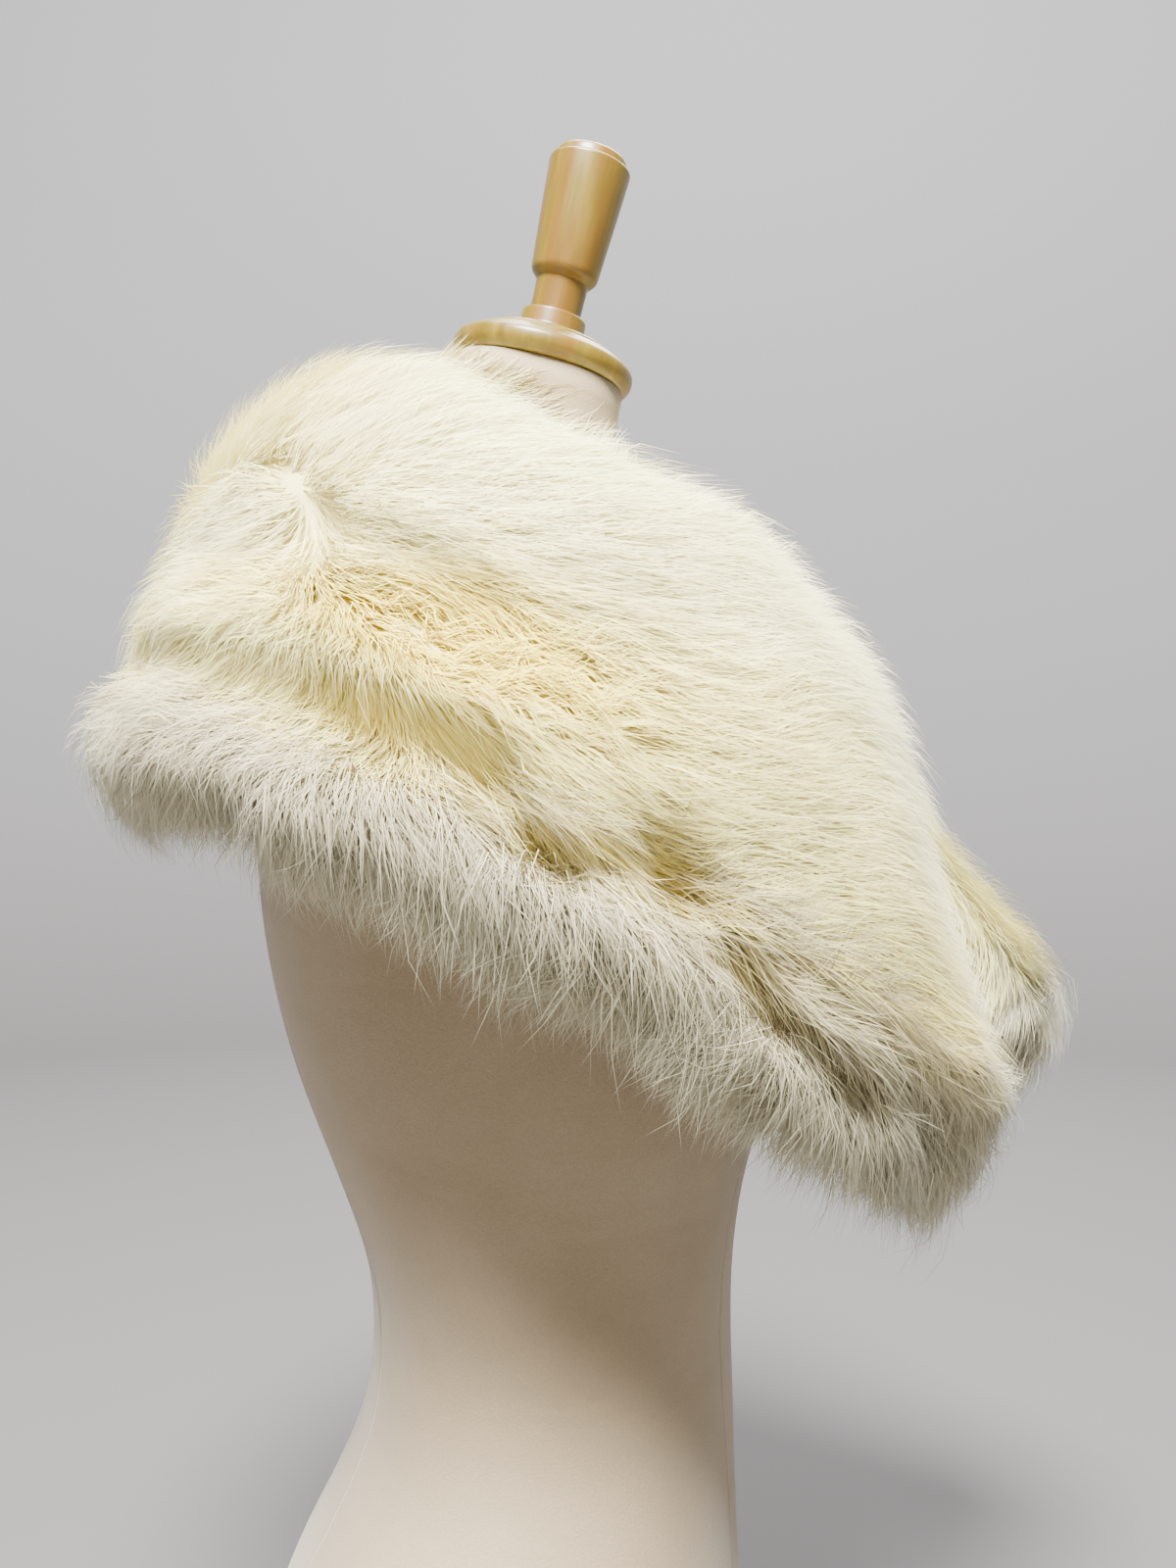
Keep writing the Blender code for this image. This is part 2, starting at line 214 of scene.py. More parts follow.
# radius and height pairs down each section, and how deep the fur is there
backAndSide = (
    # angle, neck,      crown,      shoulder,   parting,    ridge,      roll,       hem,        reach
    (180.0, (50, 742), (98, 738), (150, 694), (178, 640), (194, 588), (204, 550), (184, 516), 44.0),
    (150.0, (49, 741), (98, 736), (150, 692), (177, 638), (193, 586), (206, 549), (186, 516), 44.0),
    (120.0, (49, 733), (104, 725), (166, 684), (194, 628), (209, 574), (224, 540), (202, 510), 44.0),
    (90.0,  (52, 718), (110, 708), (184, 668), (216, 612), (232, 534), (240, 502), (218, 464), 42.0),
    (65.0,  (55, 701), (108, 684), (176, 650), (212, 590), (233, 482), (236, 444), (214, 400), 42.0),
)
rightFront = (
    (40.0,  (58, 690), (108, 668), (160, 642), (208, 564), (236, 426), (234, 394), (212, 358), 44.0),
    (20.0,  (62, 684), (108, 662), (154, 642), (208, 548), (234, 404), (230, 370), (210, 338), 46.0),
    (4.0,   (66, 680), (106, 660), (146, 640), (198, 550), (216, 408), (212, 378), (196, 350), 44.0),
)
leftFront = (
    (40.0,  (58, 690), (108, 668), (160, 642), (208, 570), (262, 456), (272, 418), (252, 380), 44.0),
    (20.0,  (62, 684), (108, 662), (154, 642), (212, 564), (298, 452), (318, 414), (294, 368), 48.0),
    (4.0,   (66, 680), (106, 660), (146, 640), (200, 562), (268, 452), (284, 416), (260, 374), 46.0),
)
# soft troughs and ridges: where each runs, how wide it is and how far it lifts the fur
folds = (
    # from angle, from v, to angle, to v, width, lift
    (165.0, 0.52, 128.0, 0.50, 22.0, -5.0),
    (128.0, 0.55, 112.0, 0.465, 12.0, -6.0),
    (112.0, 0.465, 92.0, 0.53, 14.0, -7.0),
    (92.0, 0.53, 66.0, 0.50, 22.0, -5.0),
    (176.0, 0.68, 150.0, 0.665, 17.0, -7.0),
    (150.0, 0.665, 104.0, 0.67, 16.0, -9.0),
    (104.0, 0.67, 91.0, 0.66, 14.0, -11.0),
    (91.0, 0.66, 84.5, 0.735, 12.0, -9.0),
    (84.5, 0.735, 72.0, 0.668, 12.0, -9.0),
    (72.0, 0.668, 62.0, 0.815, 12.0, -8.0),
    (62.0, 0.815, 53.0, 0.855, 12.0, -8.0),
    (53.0, 0.855, 36.0, 0.82, 16.0, -5.0),
    (128.0, 0.60, 84.0, 0.61, 30.0, 6.0),
    (60.0, 0.56, 26.0, 0.70, 34.0, 8.0),
    (24.0, 0.62, 12.0, 0.86, 20.0, -4.5),
    (82.0, 0.13, 4.0, 0.17, 32.0, -10.0),
    (34.0, 0.36, 4.0, 0.36, 36.0, -10.0),
    (26.0, 0.53, 4.0, 0.55, 40.0, -11.0),
    (46.0, 0.70, 36.0, 0.98, 15.0, -6.0),
    (70.0, 0.86, 78.0, 0.99, 14.0, -5.0),
    (112.0, 0.74, 118.0, 0.97, 15.0, -5.0),
)
# hollows that the hair fans out from
dimples = (
    # angle, v, width, lift, fan
    (98.0, 0.655, 13.0, -6.0, 0.5),
    (84.5, 0.738, 12.0, -10.0, 1.0),
    (72.0, 0.668, 10.0, -8.0, 0.8),
    (65.0, 0.765, 11.0, -8.0, 0.7),
    (62.0, 0.815, 10.0, -7.0, 0.8),
    (53.0, 0.855, 12.0, -9.0, 1.0),
    (38.0, 0.84, 12.0, -5.0, 0.6),
    (124.0, 0.72, 12.0, -7.0, 0.5),
    (150.0, 0.75, 13.0, -8.0, 0.6),
    (168.0, 0.70, 12.0, -7.0, 0.5),
)


# Smooth values at each place, through rows of numbers whose keys may be unevenly spaced.
def smoothRows(values, keys, at):
    last = len(keys) - 1
    index = np.clip(np.searchsorted(keys[1:], at), 0, last - 1)
    before = np.maximum(index - 1, 0)
    after = np.minimum(index + 2, last)
    span = (keys[index + 1] - keys[index])[:, None]
    t = (at - keys[index])[:, None] / span
    a, b = values[index], values[index + 1]
    slopeA = (b - values[before]) / (keys[index + 1] - keys[before])[:, None] * span
    slopeB = (values[after] - a) / (keys[after] - keys[index])[:, None] * span
    return (a * (2 * t**3 - 3 * t**2 + 1) + slopeA * (t**3 - 2 * t**2 + t)
            + b * (3 * t**2 - 2 * t**3) + slopeB * (t**3 - t**2))


def unit(vectors):
    return vectors / np.maximum(np.linalg.norm(vectors, axis=-1, keepdims=True), 1e-9)


def foldLift(angle, v):
    here = np.stack([angle * wrapForm["acrossScale"], v * wrapForm["downScale"]], -1)
    lift = np.zeros(angle.shape)
    for fromAngle, fromV, toAngle, toV, width, height in folds:
        start = np.array([fromAngle * wrapForm["acrossScale"], fromV * wrapForm["downScale"]])
        run = np.array([toAngle * wrapForm["acrossScale"], toV * wrapForm["downScale"]]) - start
        t = np.clip((here - start) @ run / (run @ run), 0.0, 1.0)
        away = np.linalg.norm(here - (start + t[..., None] * run), axis=-1) / width
        lift += height * np.exp(-away * away)
    for atAngle, atV, width, height, _ in dimples:
        middle = np.array([atAngle * wrapForm["acrossScale"], atV * wrapForm["downScale"]])
        lift += height * np.exp(-(np.linalg.norm(here - middle, axis=-1) / width) ** 2)
    x, y = here[..., 0], here[..., 1]
    across, slowAcross = wrapForm["unevenAcross"]
    down, slowDown = wrapForm["unevenDown"]
    swayAcross, swayDown = wrapForm["unevenSway"]
    uneven = np.sin(x / across + swayAcross * np.sin(y / slowDown))
    uneven = uneven * np.sin(y / down + swayDown * np.sin(x / slowAcross))
    fade = np.clip(v * wrapForm["unevenRise"] - wrapForm["unevenStart"], 0.0, 1.0)
    lift += wrapForm["unevenLift"] * uneven * fade
    return lift


# The dress form's surface, to keep the pelts clear of it.
def formTree():
    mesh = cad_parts["form_torso"].data
    points = [vertex.co for vertex in mesh.vertices]
    return BVHTree.FromPolygons(points, [tuple(face.vertices) for face in mesh.polygons])


# Moves points that lie nearer to the form than the gap, or inside it, straight out from it.
def keepOffForm(points, form, gap):
    for point in points:
        nearest, normal, _, away = form.find_nearest(Vector(point) * mm)
        outside = (Vector(point) * mm - nearest).dot(normal)
        if outside < 0:
            point[:] = (nearest + normal * gap * mm) / mm
        elif away < gap * mm:
            point += np.array(normal) * (gap - away / mm)


# The fur's outer reach over a grid of angles and places down the section, with its directions there.
def buildSurface(side, frontRows, form, shift):
    rows = list(reversed(frontRows)) + list(reversed(backAndSide))
    rows.append((360.0 - rows[-2][0], *rows[-2][1:]))
    keys = np.array([row[0] for row in rows])
    flat = np.array([[number for pair in row[1:-1] for number in pair] + [row[-1]] for row in rows], float)
    count = round((wrapForm["back"] - wrapForm["front"]) / wrapForm["angleStep"])
    angles = np.linspace(wrapForm["front"], wrapForm["back"], count + 1)
    places = np.linspace(0.0, 1.0, wrapForm["downSteps"] + 1)
    values = smoothRows(flat, keys, angles)
    names = np.arange(len(sectionNames)) / (len(sectionNames) - 1)
    points = np.zeros((len(angles), len(places), 3))
    for index, angle in enumerate(angles):
        pairs = values[index, :-1].reshape(-1, 2)
        lengths = np.concatenate([[0.0], np.cumsum(np.linalg.norm(np.diff(pairs, axis=0), axis=1))])
        fromTrim = (angle - wrapForm["hemTrimAngle"]) / wrapForm["hemTrimSpread"]
        trim = wrapForm["hemTrim"] * math.exp(-fromTrim**2)
        below = np.clip((places - wrapForm["ridge"]) / (1 - wrapForm["ridge"]), 0.0, 1.0)
        along = np.interp(places - trim * below, names, lengths)
        radius, height = smoothRows(pairs, lengths, along).T
        turn = math.radians(angle)
        points[index] = np.stack([wrapForm["axisX"] + radius * math.cos(turn),
                                  side * radius * math.sin(turn), height], -1)
    ahead = np.gradient(points, angles, axis=0)
    down = np.gradient(points, places, axis=1)
    normal = unit(np.cross(down, ahead) * side)
    grid = np.meshgrid(angles, places, indexing="ij")
    points += normal * foldLift(grid[0] + shift, grid[1])[..., None]
    shares = smoothRows(np.array(wrapForm["depthShares"])[:, None], names, places)[:, 0]
    depth = values[:, -1:] * shares[None, :]
    for i in range(len(angles)):
        for j in range(len(places)):
            near = form.find_nearest(Vector(points[i, j]) * mm)[3] / mm
            room = max(near - wrapForm["formClearance"], wrapForm["leastDepth"])
            depth[i, j] = min(depth[i, j], room)
    ahead = np.gradient(points, angles, axis=0)
    down = np.gradient(points, places, axis=1)
    normal = unit(np.cross(down, ahead) * side)
    perDegree = np.linalg.norm(ahead, axis=-1, keepdims=True)
    perV = np.linalg.norm(down, axis=-1, keepdims=True)
    table = np.concatenate([points, normal, -unit(ahead), unit(down), perDegree, perV, depth[..., None]], -1)
    return {"side": side, "angles": angles, "places": places, "table": table,
            "shift": shift, "form": form}


# Point, normal, way to the front, way down, millimetres per degree and per v, and depth.
def lookUp(surface, u, v):
    angles, places, table = surface["angles"], surface["places"], surface["table"]
    x = np.clip((u - angles[0]) / (angles[1] - angles[0]), 0, len(angles) - 1.001)
    y = np.clip(v * (len(places) - 1), 0, len(places) - 1.001)
    i, j = x.astype(int), y.astype(int)
    a, b = (x - i)[..., None], (y - j)[..., None]
    found = (table[i, j] * (1 - a) * (1 - b) + table[i + 1, j] * a * (1 - b)
             + table[i, j + 1] * (1 - a) * b + table[i + 1, j + 1] * a * b)
    return (found[..., 0:3], found[..., 3:6], found[..., 6:9], found[..., 9:12],
            found[..., 12], found[..., 13], found[..., 14])


# The pelts are thin skins that follow the wrap and turn under at their free edges.
peltForm = {
    "under": 13.0,             # how far the skin lies below the fur's outer reach
    "underShare": 0.45,        # or this share of the depth, where the fur is thin
    "thick": 1.6,
    "angleStep": 4.0,
    "downStep": 0.028,
    "turnDown": 11.0,          # how far a free edge reaches out as it turns under
    "turnShare": 0.4,          # or this share of the depth
    "rollRoom": 3.0,           # how far the turned edge stays above the fur's inner reach
    "leastRoll": 2.0,
    "turnSteps": 5,
    "turnEnd": 2.7,            # radians round the edge
    "formGap": 5.0,            # the least room between the skin's outer face and the form
    "seamGap": 0.0006,         # between neighbouring bands, as a share of the section
    "centreGap": 1.2,          # from the middle plane, where the two sides meet
    "strandColour": (0.55, 0.1, 0.6, 1.0),   # along, warmth, chance
}


# Point and normal on the skin; past a free edge u and v count radians round the turn.
def skinPoint(surface, u, v):
    front, back, hemLine = wrapForm["front"], wrapForm["back"], wrapForm["hemLine"]
    insideU, insideV = np.clip(u, front, back), np.clip(v, 0.0, hemLine)
    point, normal, forward, down, _, _, depth = lookUp(surface, insideU, insideV)
    pastFront = np.maximum(front - u, 0.0)
    pastHem = np.maximum(v - hemLine, 0.0) - np.maximum(-v, 0.0)
    turned = np.sqrt(pastFront**2 + pastHem**2)
    out = forward * pastFront[..., None] + down * pastHem[..., None]
    out = unit(out + 1e-9)
    under = np.minimum(peltForm["under"], depth * peltForm["underShare"])
    roll = np.maximum(depth - under - peltForm["rollRoom"], peltForm["leastRoll"]) / 2
    reach = np.minimum(peltForm["turnDown"], depth * peltForm["turnShare"])
    cos, sin = np.cos(turned)[..., None], np.sin(turned)[..., None]
    skin = point - normal * (under + roll)[..., None] + normal * roll[..., None] * cos
    skin += out * reach[..., None] * sin
    facing = unit(normal * cos * reach[..., None] + out * sin * roll[..., None])
    return skin, np.where(turned[..., None] > 0, facing, normal)


# A sheet of quads over a grid of points.
def meshFromGrid(name, points):
    rows, columns = points.shape[:2]
    index = np.arange(rows * columns).reshape(rows, columns)
    faces = np.stack([index[:-1, :-1], index[1:, :-1], index[1:, 1:], index[:-1, 1:]], -1).reshape(-1, 4)
    mesh = bpy.data.meshes.new(name)
    mesh.from_pydata(points.reshape(-1, 3).tolist(), [], faces.tolist())
    made = bpy.data.objects.new(name, mesh)
    bpy.context.scene.collection.objects.link(made)
    return made


def activate(piece):
    bpy.ops.object.select_all(action="DESELECT")
    piece.select_set(True)
    bpy.context.view_layer.objects.active = piece


def applyModifier(piece, name, kind, **settings):
    modifier = piece.modifiers.new(name, kind)
    for key, value in settings.items():
        setattr(modifier, key, value)
    activate(piece)
    bpy.ops.object.modifier_apply(modifier=name)


def makePelt(name, surface, fromV, toV):
    front, back = wrapForm["front"], wrapForm["back"]
    side, seamGap = surface["side"], peltForm["seamGap"]
    turns = np.linspace(peltForm["turnEnd"], 0.0, peltForm["turnSteps"] + 1)[:-1]
    across = np.concatenate([front - turns, np.arange(front, back, peltForm["angleStep"]), [back]])
    rows = max(round((toV - fromV) / peltForm["downStep"]), 2)
    down = np.linspace(fromV + seamGap, toV - seamGap, rows)
    if fromV == 0.0:
        down = np.concatenate([-turns, down])
    if toV == wrapForm["hemLine"]:
        down = np.concatenate([down, toV + turns[::-1]])
    u, v = np.meshgrid(across, down, indexing="ij")
    skin = skinPoint(surface, u, v)[0]
    keepOffForm(skin.reshape(-1, 3), surface["form"], peltForm["formGap"])
    skin[..., 1] = side * np.maximum(side * skin[..., 1], peltForm["centreGap"])
    flat = skin * mm
    width = np.linalg.norm(np.diff(flat, axis=0), axis=-1).sum(0)
    length = np.linalg.norm(np.diff(flat, axis=1), axis=-1).sum(1)
    pelt = meshFromGrid(name, flat if side > 0 else flat[:, ::-1])
    applyModifier(pelt, "wall", "SOLIDIFY", thickness=peltForm["thick"] * mm, offset=-1.0)
    strand = pelt.data.attributes.new("strand", "FLOAT_COLOR", "POINT")
    strand.data.foreach_set("color", np.tile(peltForm["strandColour"], len(pelt.data.vertices)))
    activate(pelt)
    bpy.ops.object.shade_smooth()
    cross = np.cross(flat[1:, :-1] - flat[:-1, :-1], flat[:-1, 1:] - flat[:-1, :-1])
    area = float(np.linalg.norm(cross, axis=-1).sum())
    return pelt, (float(width.max()), float(length.max())), area


# Which way the fur is combed: 0 is towards the front, 90 down, 180 towards the back and -90 up.
combPoints = (
    # angle, v, way
    (179.0, 0.05, -78.0), (179.0, 0.22, -72.0), (179.0, 0.36, -70.0),
    (179.0, 0.46, 95.0), (179.0, 0.60, 93.0), (179.0, 0.75, 93.0), (179.0, 0.92, 92.0),
    (166.0, 0.05, -50.0), (166.0, 0.30, -35.0), (164.0, 0.48, 60.0),
    (130.0, 0.10, -45.0), (120.0, 0.20, -38.0), (110.0, 0.30, -30.0), (140.0, 0.35, -20.0),
    (95.0, 0.10, -28.0), (90.0, 0.20, -20.0), (90.0, 0.35, -12.0),
    (70.0, 0.10, -15.0), (70.0, 0.30, 0.0), (50.0, 0.15, -5.0), (50.0, 0.30, 2.0), (50.0, 0.45, 5.0),
    (20.0, 0.15, 10.0), (20.0, 0.30, 25.0), (20.0, 0.45, 35.0),
    (132.0, 0.48, 155.0), (124.0, 0.56, 155.0), (140.0, 0.58, 140.0), (160.0, 0.58, 120.0),
    (100.0, 0.48, 5.0), (84.0, 0.47, 0.0),
    (112.0, 0.62, 130.0), (105.0, 0.62, 100.0), (95.0, 0.62, 35.0), (85.0, 0.60, 15.0),
    (75.0, 0.60, 8.0), (70.0, 0.62, -10.0), (67.0, 0.69, -40.0), (60.0, 0.60, -20.0),
    (55.0, 0.65, -5.0), (45.0, 0.62, 25.0), (35.0, 0.60, 45.0), (20.0, 0.60, 50.0), (8.0, 0.60, 50.0),
    (170.0, 0.75, 110.0), (150.0, 0.72, 130.0), (140.0, 0.90, 130.0), (130.0, 0.75, 132.0),
    (120.0, 0.75, 130.0), (120.0, 0.95, 132.0), (112.0, 0.75, 108.0), (105.0, 0.75, 85.0),
    (105.0, 0.95, 118.0), (98.0, 0.72, 58.0), (98.0, 0.90, 100.0), (90.0, 0.75, 62.0), (90.0, 0.95, 118.0),
    (82.0, 0.78, 82.0), (82.0, 0.95, 124.0), (76.0, 0.75, 95.0), (76.0, 0.95, 128.0),
    (72.0, 0.72, 90.0), (72.0, 0.90, 124.0), (68.0, 0.80, 78.0), (62.0, 0.85, 108.0), (62.0, 0.97, 126.0),
    (55.0, 0.90, 100.0), (55.0, 0.99, 118.0), (50.0, 0.90, 80.0), (45.0, 0.85, 66.0), (45.0, 0.98, 90.0),
    (30.0, 0.80, 60.0), (30.0, 0.97, 84.0), (15.0, 0.80, 52.0), (15.0, 0.97, 70.0),
)
combing = {
    "spread": 20.0,            # millimetres over which neighbouring ways blend
    "fanReach": 2.6,           # how many of a dimple's widths its fan reaches over
    "fanEye": 7.0,             # the middle of a dimple keeps the general way
}
# where the underfur shows its warmer colour
warmPatches = (
    # angle, v, across, down, strength
    (97.0, 0.545, 15.0, 0.048, 1.15),
    (86.0, 0.57, 18.0, 0.050, 0.65),
    (112.0, 0.50, 5.0, 0.03, 0.45),
    (128.0, 0.53, 9.0, 0.02, 0.35),
    (104.5, 0.66, 6.0, 0.02, 0.35),
    (84.5, 0.735, 3.0, 0.02, 0.65),
    (78.0, 0.69, 6.0, 0.02, 0.35),
    (72.0, 0.67, 3.0, 0.025, 0.5),
    (66.0, 0.745, 3.0, 0.03, 0.5),
    (63.0, 0.80, 3.0, 0.025, 0.6),
    (53.0, 0.85, 4.0, 0.02, 0.6),
    (120.0, 0.25, 30.0, 0.16, 0.12),
)
# a warm line along the ridge, wider below it, weaker at the front and the back
ridgeWarmth = {
    "at": 0.67, "above": 0.04, "below": 0.11, "strength": 0.48,
    "frontFrom": 10.0, "frontOver": 30.0, "frontLeast": 0.1,
    "backFrom": 95.0, "backOver": 25.0, "backLoss": 0.5,
}


# The combed way in radians, blended from the nearest comb points.
def combWay(u, v):
    table = np.array(combPoints)
    across = (u[:, None] - table[:, 0]) * wrapForm["acrossScale"]
    down = (v[:, None] - table[:, 1]) * wrapForm["downScale"]
    apart = across**2 + down**2
    weight = np.exp(-(apart - apart.min(1, keepdims=True)) / (2 * combing["spread"]**2))
    way = np.radians(table[:, 2])
    total = weight.sum(1)
    downward = (weight * np.sin(way)).sum(1) / total
    forward = (weight * np.cos(way)).sum(1) / total
    for atAngle, atV, width, _, fan in dimples:
        x = -(u - atAngle) * wrapForm["acrossScale"]
        y = (v - atV) * wrapForm["downScale"]
        apart = np.hypot(x, y) + 1.0
        pull = fan * np.exp(-(apart / (combing["fanReach"] * width)) ** 2)
        pull = pull * (1 - np.exp(-(apart / combing["fanEye"]) ** 2))
        forward += pull * x / apart
        downward += pull * y / apart
    return np.arctan2(downward, forward)


def warmth(u, v):
    total = np.zeros(u.shape)
    for angle, down, acrossSpread, downSpread, strength in warmPatches:
        total += strength * np.exp(-((u - angle) / acrossSpread) ** 2 - ((v - down) / downSpread) ** 2)
    ridge = ridgeWarmth
    spread = np.where(v > wrapForm["ridge"], ridge["below"], ridge["above"])
    fromFront = np.clip((u - ridge["frontFrom"]) / ridge["frontOver"], ridge["frontLeast"], 1.0)
    towardsBack = np.clip((u - ridge["backFrom"]) / ridge["backOver"], 0.0, 1.0)
    alongRidge = fromFront * (1 - ridge["backLoss"] * towardsBack)
    total += ridge["strength"] * np.exp(-((v - ridge["at"]) / spread) ** 2) * alongRidge
    return np.clip(total, 0.0, 1.0)


# Roots spread evenly over the band's surface.
def scatterRoots(surface, fromV, toV, count):
    angles, places, table = surface["angles"], surface["places"], surface["table"]
    area = table[:-1, :-1, 12] * table[:-1, :-1, 13]
    inside = np.clip((np.minimum(places[1:], toV) - np.maximum(places[:-1], fromV))
                     / (places[1] - places[0]), 0.0, 1.0)
    share = (area * inside).ravel()
    cell = dice.choice(share.size, count, p=share / share.sum())
    i, j = np.divmod(cell, len(places) - 1)
    u = angles[i] + dice.random(count) * (angles[1] - angles[0])
    low = np.maximum(places[j], fromV)
    high = np.minimum(places[j + 1], toV)
    return u, low + dice.random(count) * (high - low)


# How locks, tufts of neighbouring locks and single hairs differ from what their coat says.
habit = {
    "tuftSize": 3.1,           # locks across a tuft
    "lockWave": 0.35, "lockWaves": 2.3,
    "lockTurn": 1.1, "tuftTurn": 0.9, "hairTurn": 0.4,   # shares of the coat's wander
    "lockLength": 0.25, "tuftLength": 0.25, "hairLength": 0.10,
    "lockLift": 14.0, "hairLift": 6.0, "tuftRest": 12.0, "hairRest": 5.0, "hairBend": 0.3,
    "lockHeight": 0.7,
    "settle": 1.2,             # how soon a hair lies down, and how soon locks draw together
    "tuftPull": 0.25,
    "woollyFrom": 0.25, "woollyGain": 1.2,   # where the coat is warm it is also woolly
    "woollyTurn": 110.0, "woollyLength": 0.35,
    "neckLength": 0.45, "neckGrowth": 4.5,   # short at the neck, and longer down the section
    "neckHeight": 0.4, "neckRise": 2.2,
    "formGap": 0.5, "neckReach": 0.02,   # hair this near the neck edge is kept off the form
    "strayLength": 1.25, "strayLift": 16.0, "strayRest": 12.0, "strayHeight": 1.9,   # hairs that stand out
    "frontShade": 0.7, "frontEdgeShade": 0.85, "frontFade": 6.0,   # lighter roots at the front
    "edgeWarmth": 0.3,         # the rest is for the hair on the free edges
    "edgeSweep": 0.8, "edgeLockTurn": 0.5, "edgeHairTurn": 0.10,
    "edgeLockLength": 0.3, "edgeHairLength": 0.12, "edgeHairLift": 9.0, "edgeHairRest": 8.0,
    "edgeLockAcross": 4.0, "edgeLockDown": 0.12,
    "neckStand": 0.6,
}


# The lock that each strand belongs to: its middle, and six chances that the lock's strands share.
def clumps(u, v, size):
    x = u * wrapForm["acrossScale"] / size
    y = v * wrapForm["downScale"] / size
    x = x + habit["lockWave"] * np.sin(y * habit["lockWaves"])
    i = np.floor(x).astype(int)
    j = np.floor(y).astype(int)
    i -= i.min()
    j -= j.min()
    chances = dice.random((i.max() + 1, j.max() + 1, 6))[i, j]
    sums = np.zeros((i.max() + 1, j.max() + 1, 3))
    np.add.at(sums, (i, j), np.stack([u, v, np.ones(u.shape)], -1))
    middle = (sums[..., :2] / np.maximum(sums[..., 2:], 1))[i, j]
    return middle[:, 0], middle[:, 1], chances


# A chance that each strand half shares with its lock.
def ownChance(lock):
    return 0.5 * (lock[:, 1] + 0.5) + 0.5 * dice.random(len(lock))


# Strand paths that start on the skin and lie over in the combed way.
def growOverBand(surface, band, count, levels, coat):
    fromV, toV = bands[band][:2]
    overlap = coat["overlap"]
    u, v = scatterRoots(surface, fromV - overlap * (fromV > 0), toV + overlap * (band != "hem"), count)
    way = combWay(u + surface["shift"], v)
    woolly = warmth(u + surface["shift"], v) * habit["woollyGain"] - habit["woollyFrom"]
    woolly = np.clip(woolly, 0.0, 1.0)
    middleU, middleV, lock = clumps(u, v, coat["lock"])
    tuftU, tuftV, tuft = clumps(u, v, coat["lock"] * habit["tuftSize"])
    lock, tuft = lock - 0.5, tuft - 0.5
    strandTurn = dice.normal(0, habit["hairTurn"], count)
    strandTurn += habit["lockTurn"] * lock[:, 0] + habit["tuftTurn"] * tuft[:, 0]
    way = way + np.radians(coat["wander"]) * strandTurn
    way = way + woolly * np.radians(habit["woollyTurn"]) * lock[:, 1]
    length = coat["length"] * (1 + habit["lockLength"] * lock[:, 2] + habit["tuftLength"] * tuft[:, 2]
                               + dice.normal(0, habit["hairLength"], count))
    length *= 1 - habit["woollyLength"] * woolly
    length *= np.clip(habit["neckLength"] + v * habit["neckGrowth"], habit["neckLength"], 1.0)
    stray = dice.random(count) < coat["strayShare"]
    length = np.where(stray, length * habit["strayLength"], length)
    lift = np.radians(coat["lift"] + habit["lockLift"] * lock[:, 3] + dice.normal(0, habit["hairLift"], count)
                      + stray * habit["strayLift"])
    rest = np.radians(coat["rest"] + habit["tuftRest"] * tuft[:, 4] + dice.normal(0, habit["hairRest"], count)
                      + stray * habit["strayRest"])
    bend = np.radians(coat["bend"]) * (lock[:, 5] + dice.normal(0, habit["hairBend"], count))
    front, back = wrapForm["front"], wrapForm["back"]
    pathU, pathV = u.copy(), v.copy()
    height = np.zeros(count)
    points, normals, warm = [], [], []
    for level in range(levels + 1):
        t = level / levels
        if level:
            middle = (level - 0.5) / levels
            settled = 1 - (1 - middle) ** habit["settle"]
            slope = lift * (1 - settled) + rest * settled
            step = length / levels
            _, _, _, _, perDegree, perV, _ = lookUp(surface, pathU, pathV)
            turned = way + bend * middle
            pathU = pathU - step * np.cos(slope) * np.cos(turned) / perDegree
            pathV = pathV + step * np.cos(slope) * np.sin(turned) / perV
            height = height + step * np.sin(slope)
        pull = coat["pull"] * t ** habit["settle"]
        nowU = pathU + (middleU - u) * pull + (tuftU - u) * habit["tuftPull"] * pull
        nowV = pathV + (middleV - v) * pull + (tuftV - v) * habit["tuftPull"] * pull
        point, normal, forward, down, perDegree, perV, depth = lookUp(surface, nowU, nowV)
        proud = height - np.minimum(peltForm["under"], depth * peltForm["underShare"])
        lower = habit["neckHeight"]
        tallest = coat["proud"] * np.clip(lower + nowV * habit["neckRise"], lower, 1.0)
        tallest = tallest * np.where(stray, habit["strayHeight"], lock[:, 4] * habit["lockHeight"] + 1.0)
        proud = np.where(proud > 0, tallest * (1 - np.exp(-np.maximum(proud, 0) / tallest)), proud)
        outward = (np.maximum(front - nowU, 0) - np.maximum(nowU - back, 0)) * perDegree
        downward = (np.maximum(nowV - 1, 0) - np.maximum(-nowV, 0)) * perV
        past = outward**2 + downward**2
        place = (point + normal * proud[:, None] + forward * outward[:, None]
                 + down * downward[:, None] - normal * (past / coat["droop"])[:, None])
        nearNeck = np.flatnonzero(nowV < habit["neckReach"])
        onNeck = place[nearNeck]
        keepOffForm(onNeck, surface["form"], habit["formGap"])
        place[nearNeck] = onNeck
        points.append(place)
        normals.append(normal)
        warm.append(warmth(nowU + surface["shift"], nowV))
    lighter = (habit["frontShade"] - coat["rootShade"]) * np.exp(-(u - front) / habit["frontFade"])
    return {"points": np.stack(points, 1), "normals": np.stack(normals, 1), "warm": np.stack(warm, 1),
            "woolly": woolly, "rootShade": coat["rootShade"] + lighter,
            "chance": ownChance(lock)}


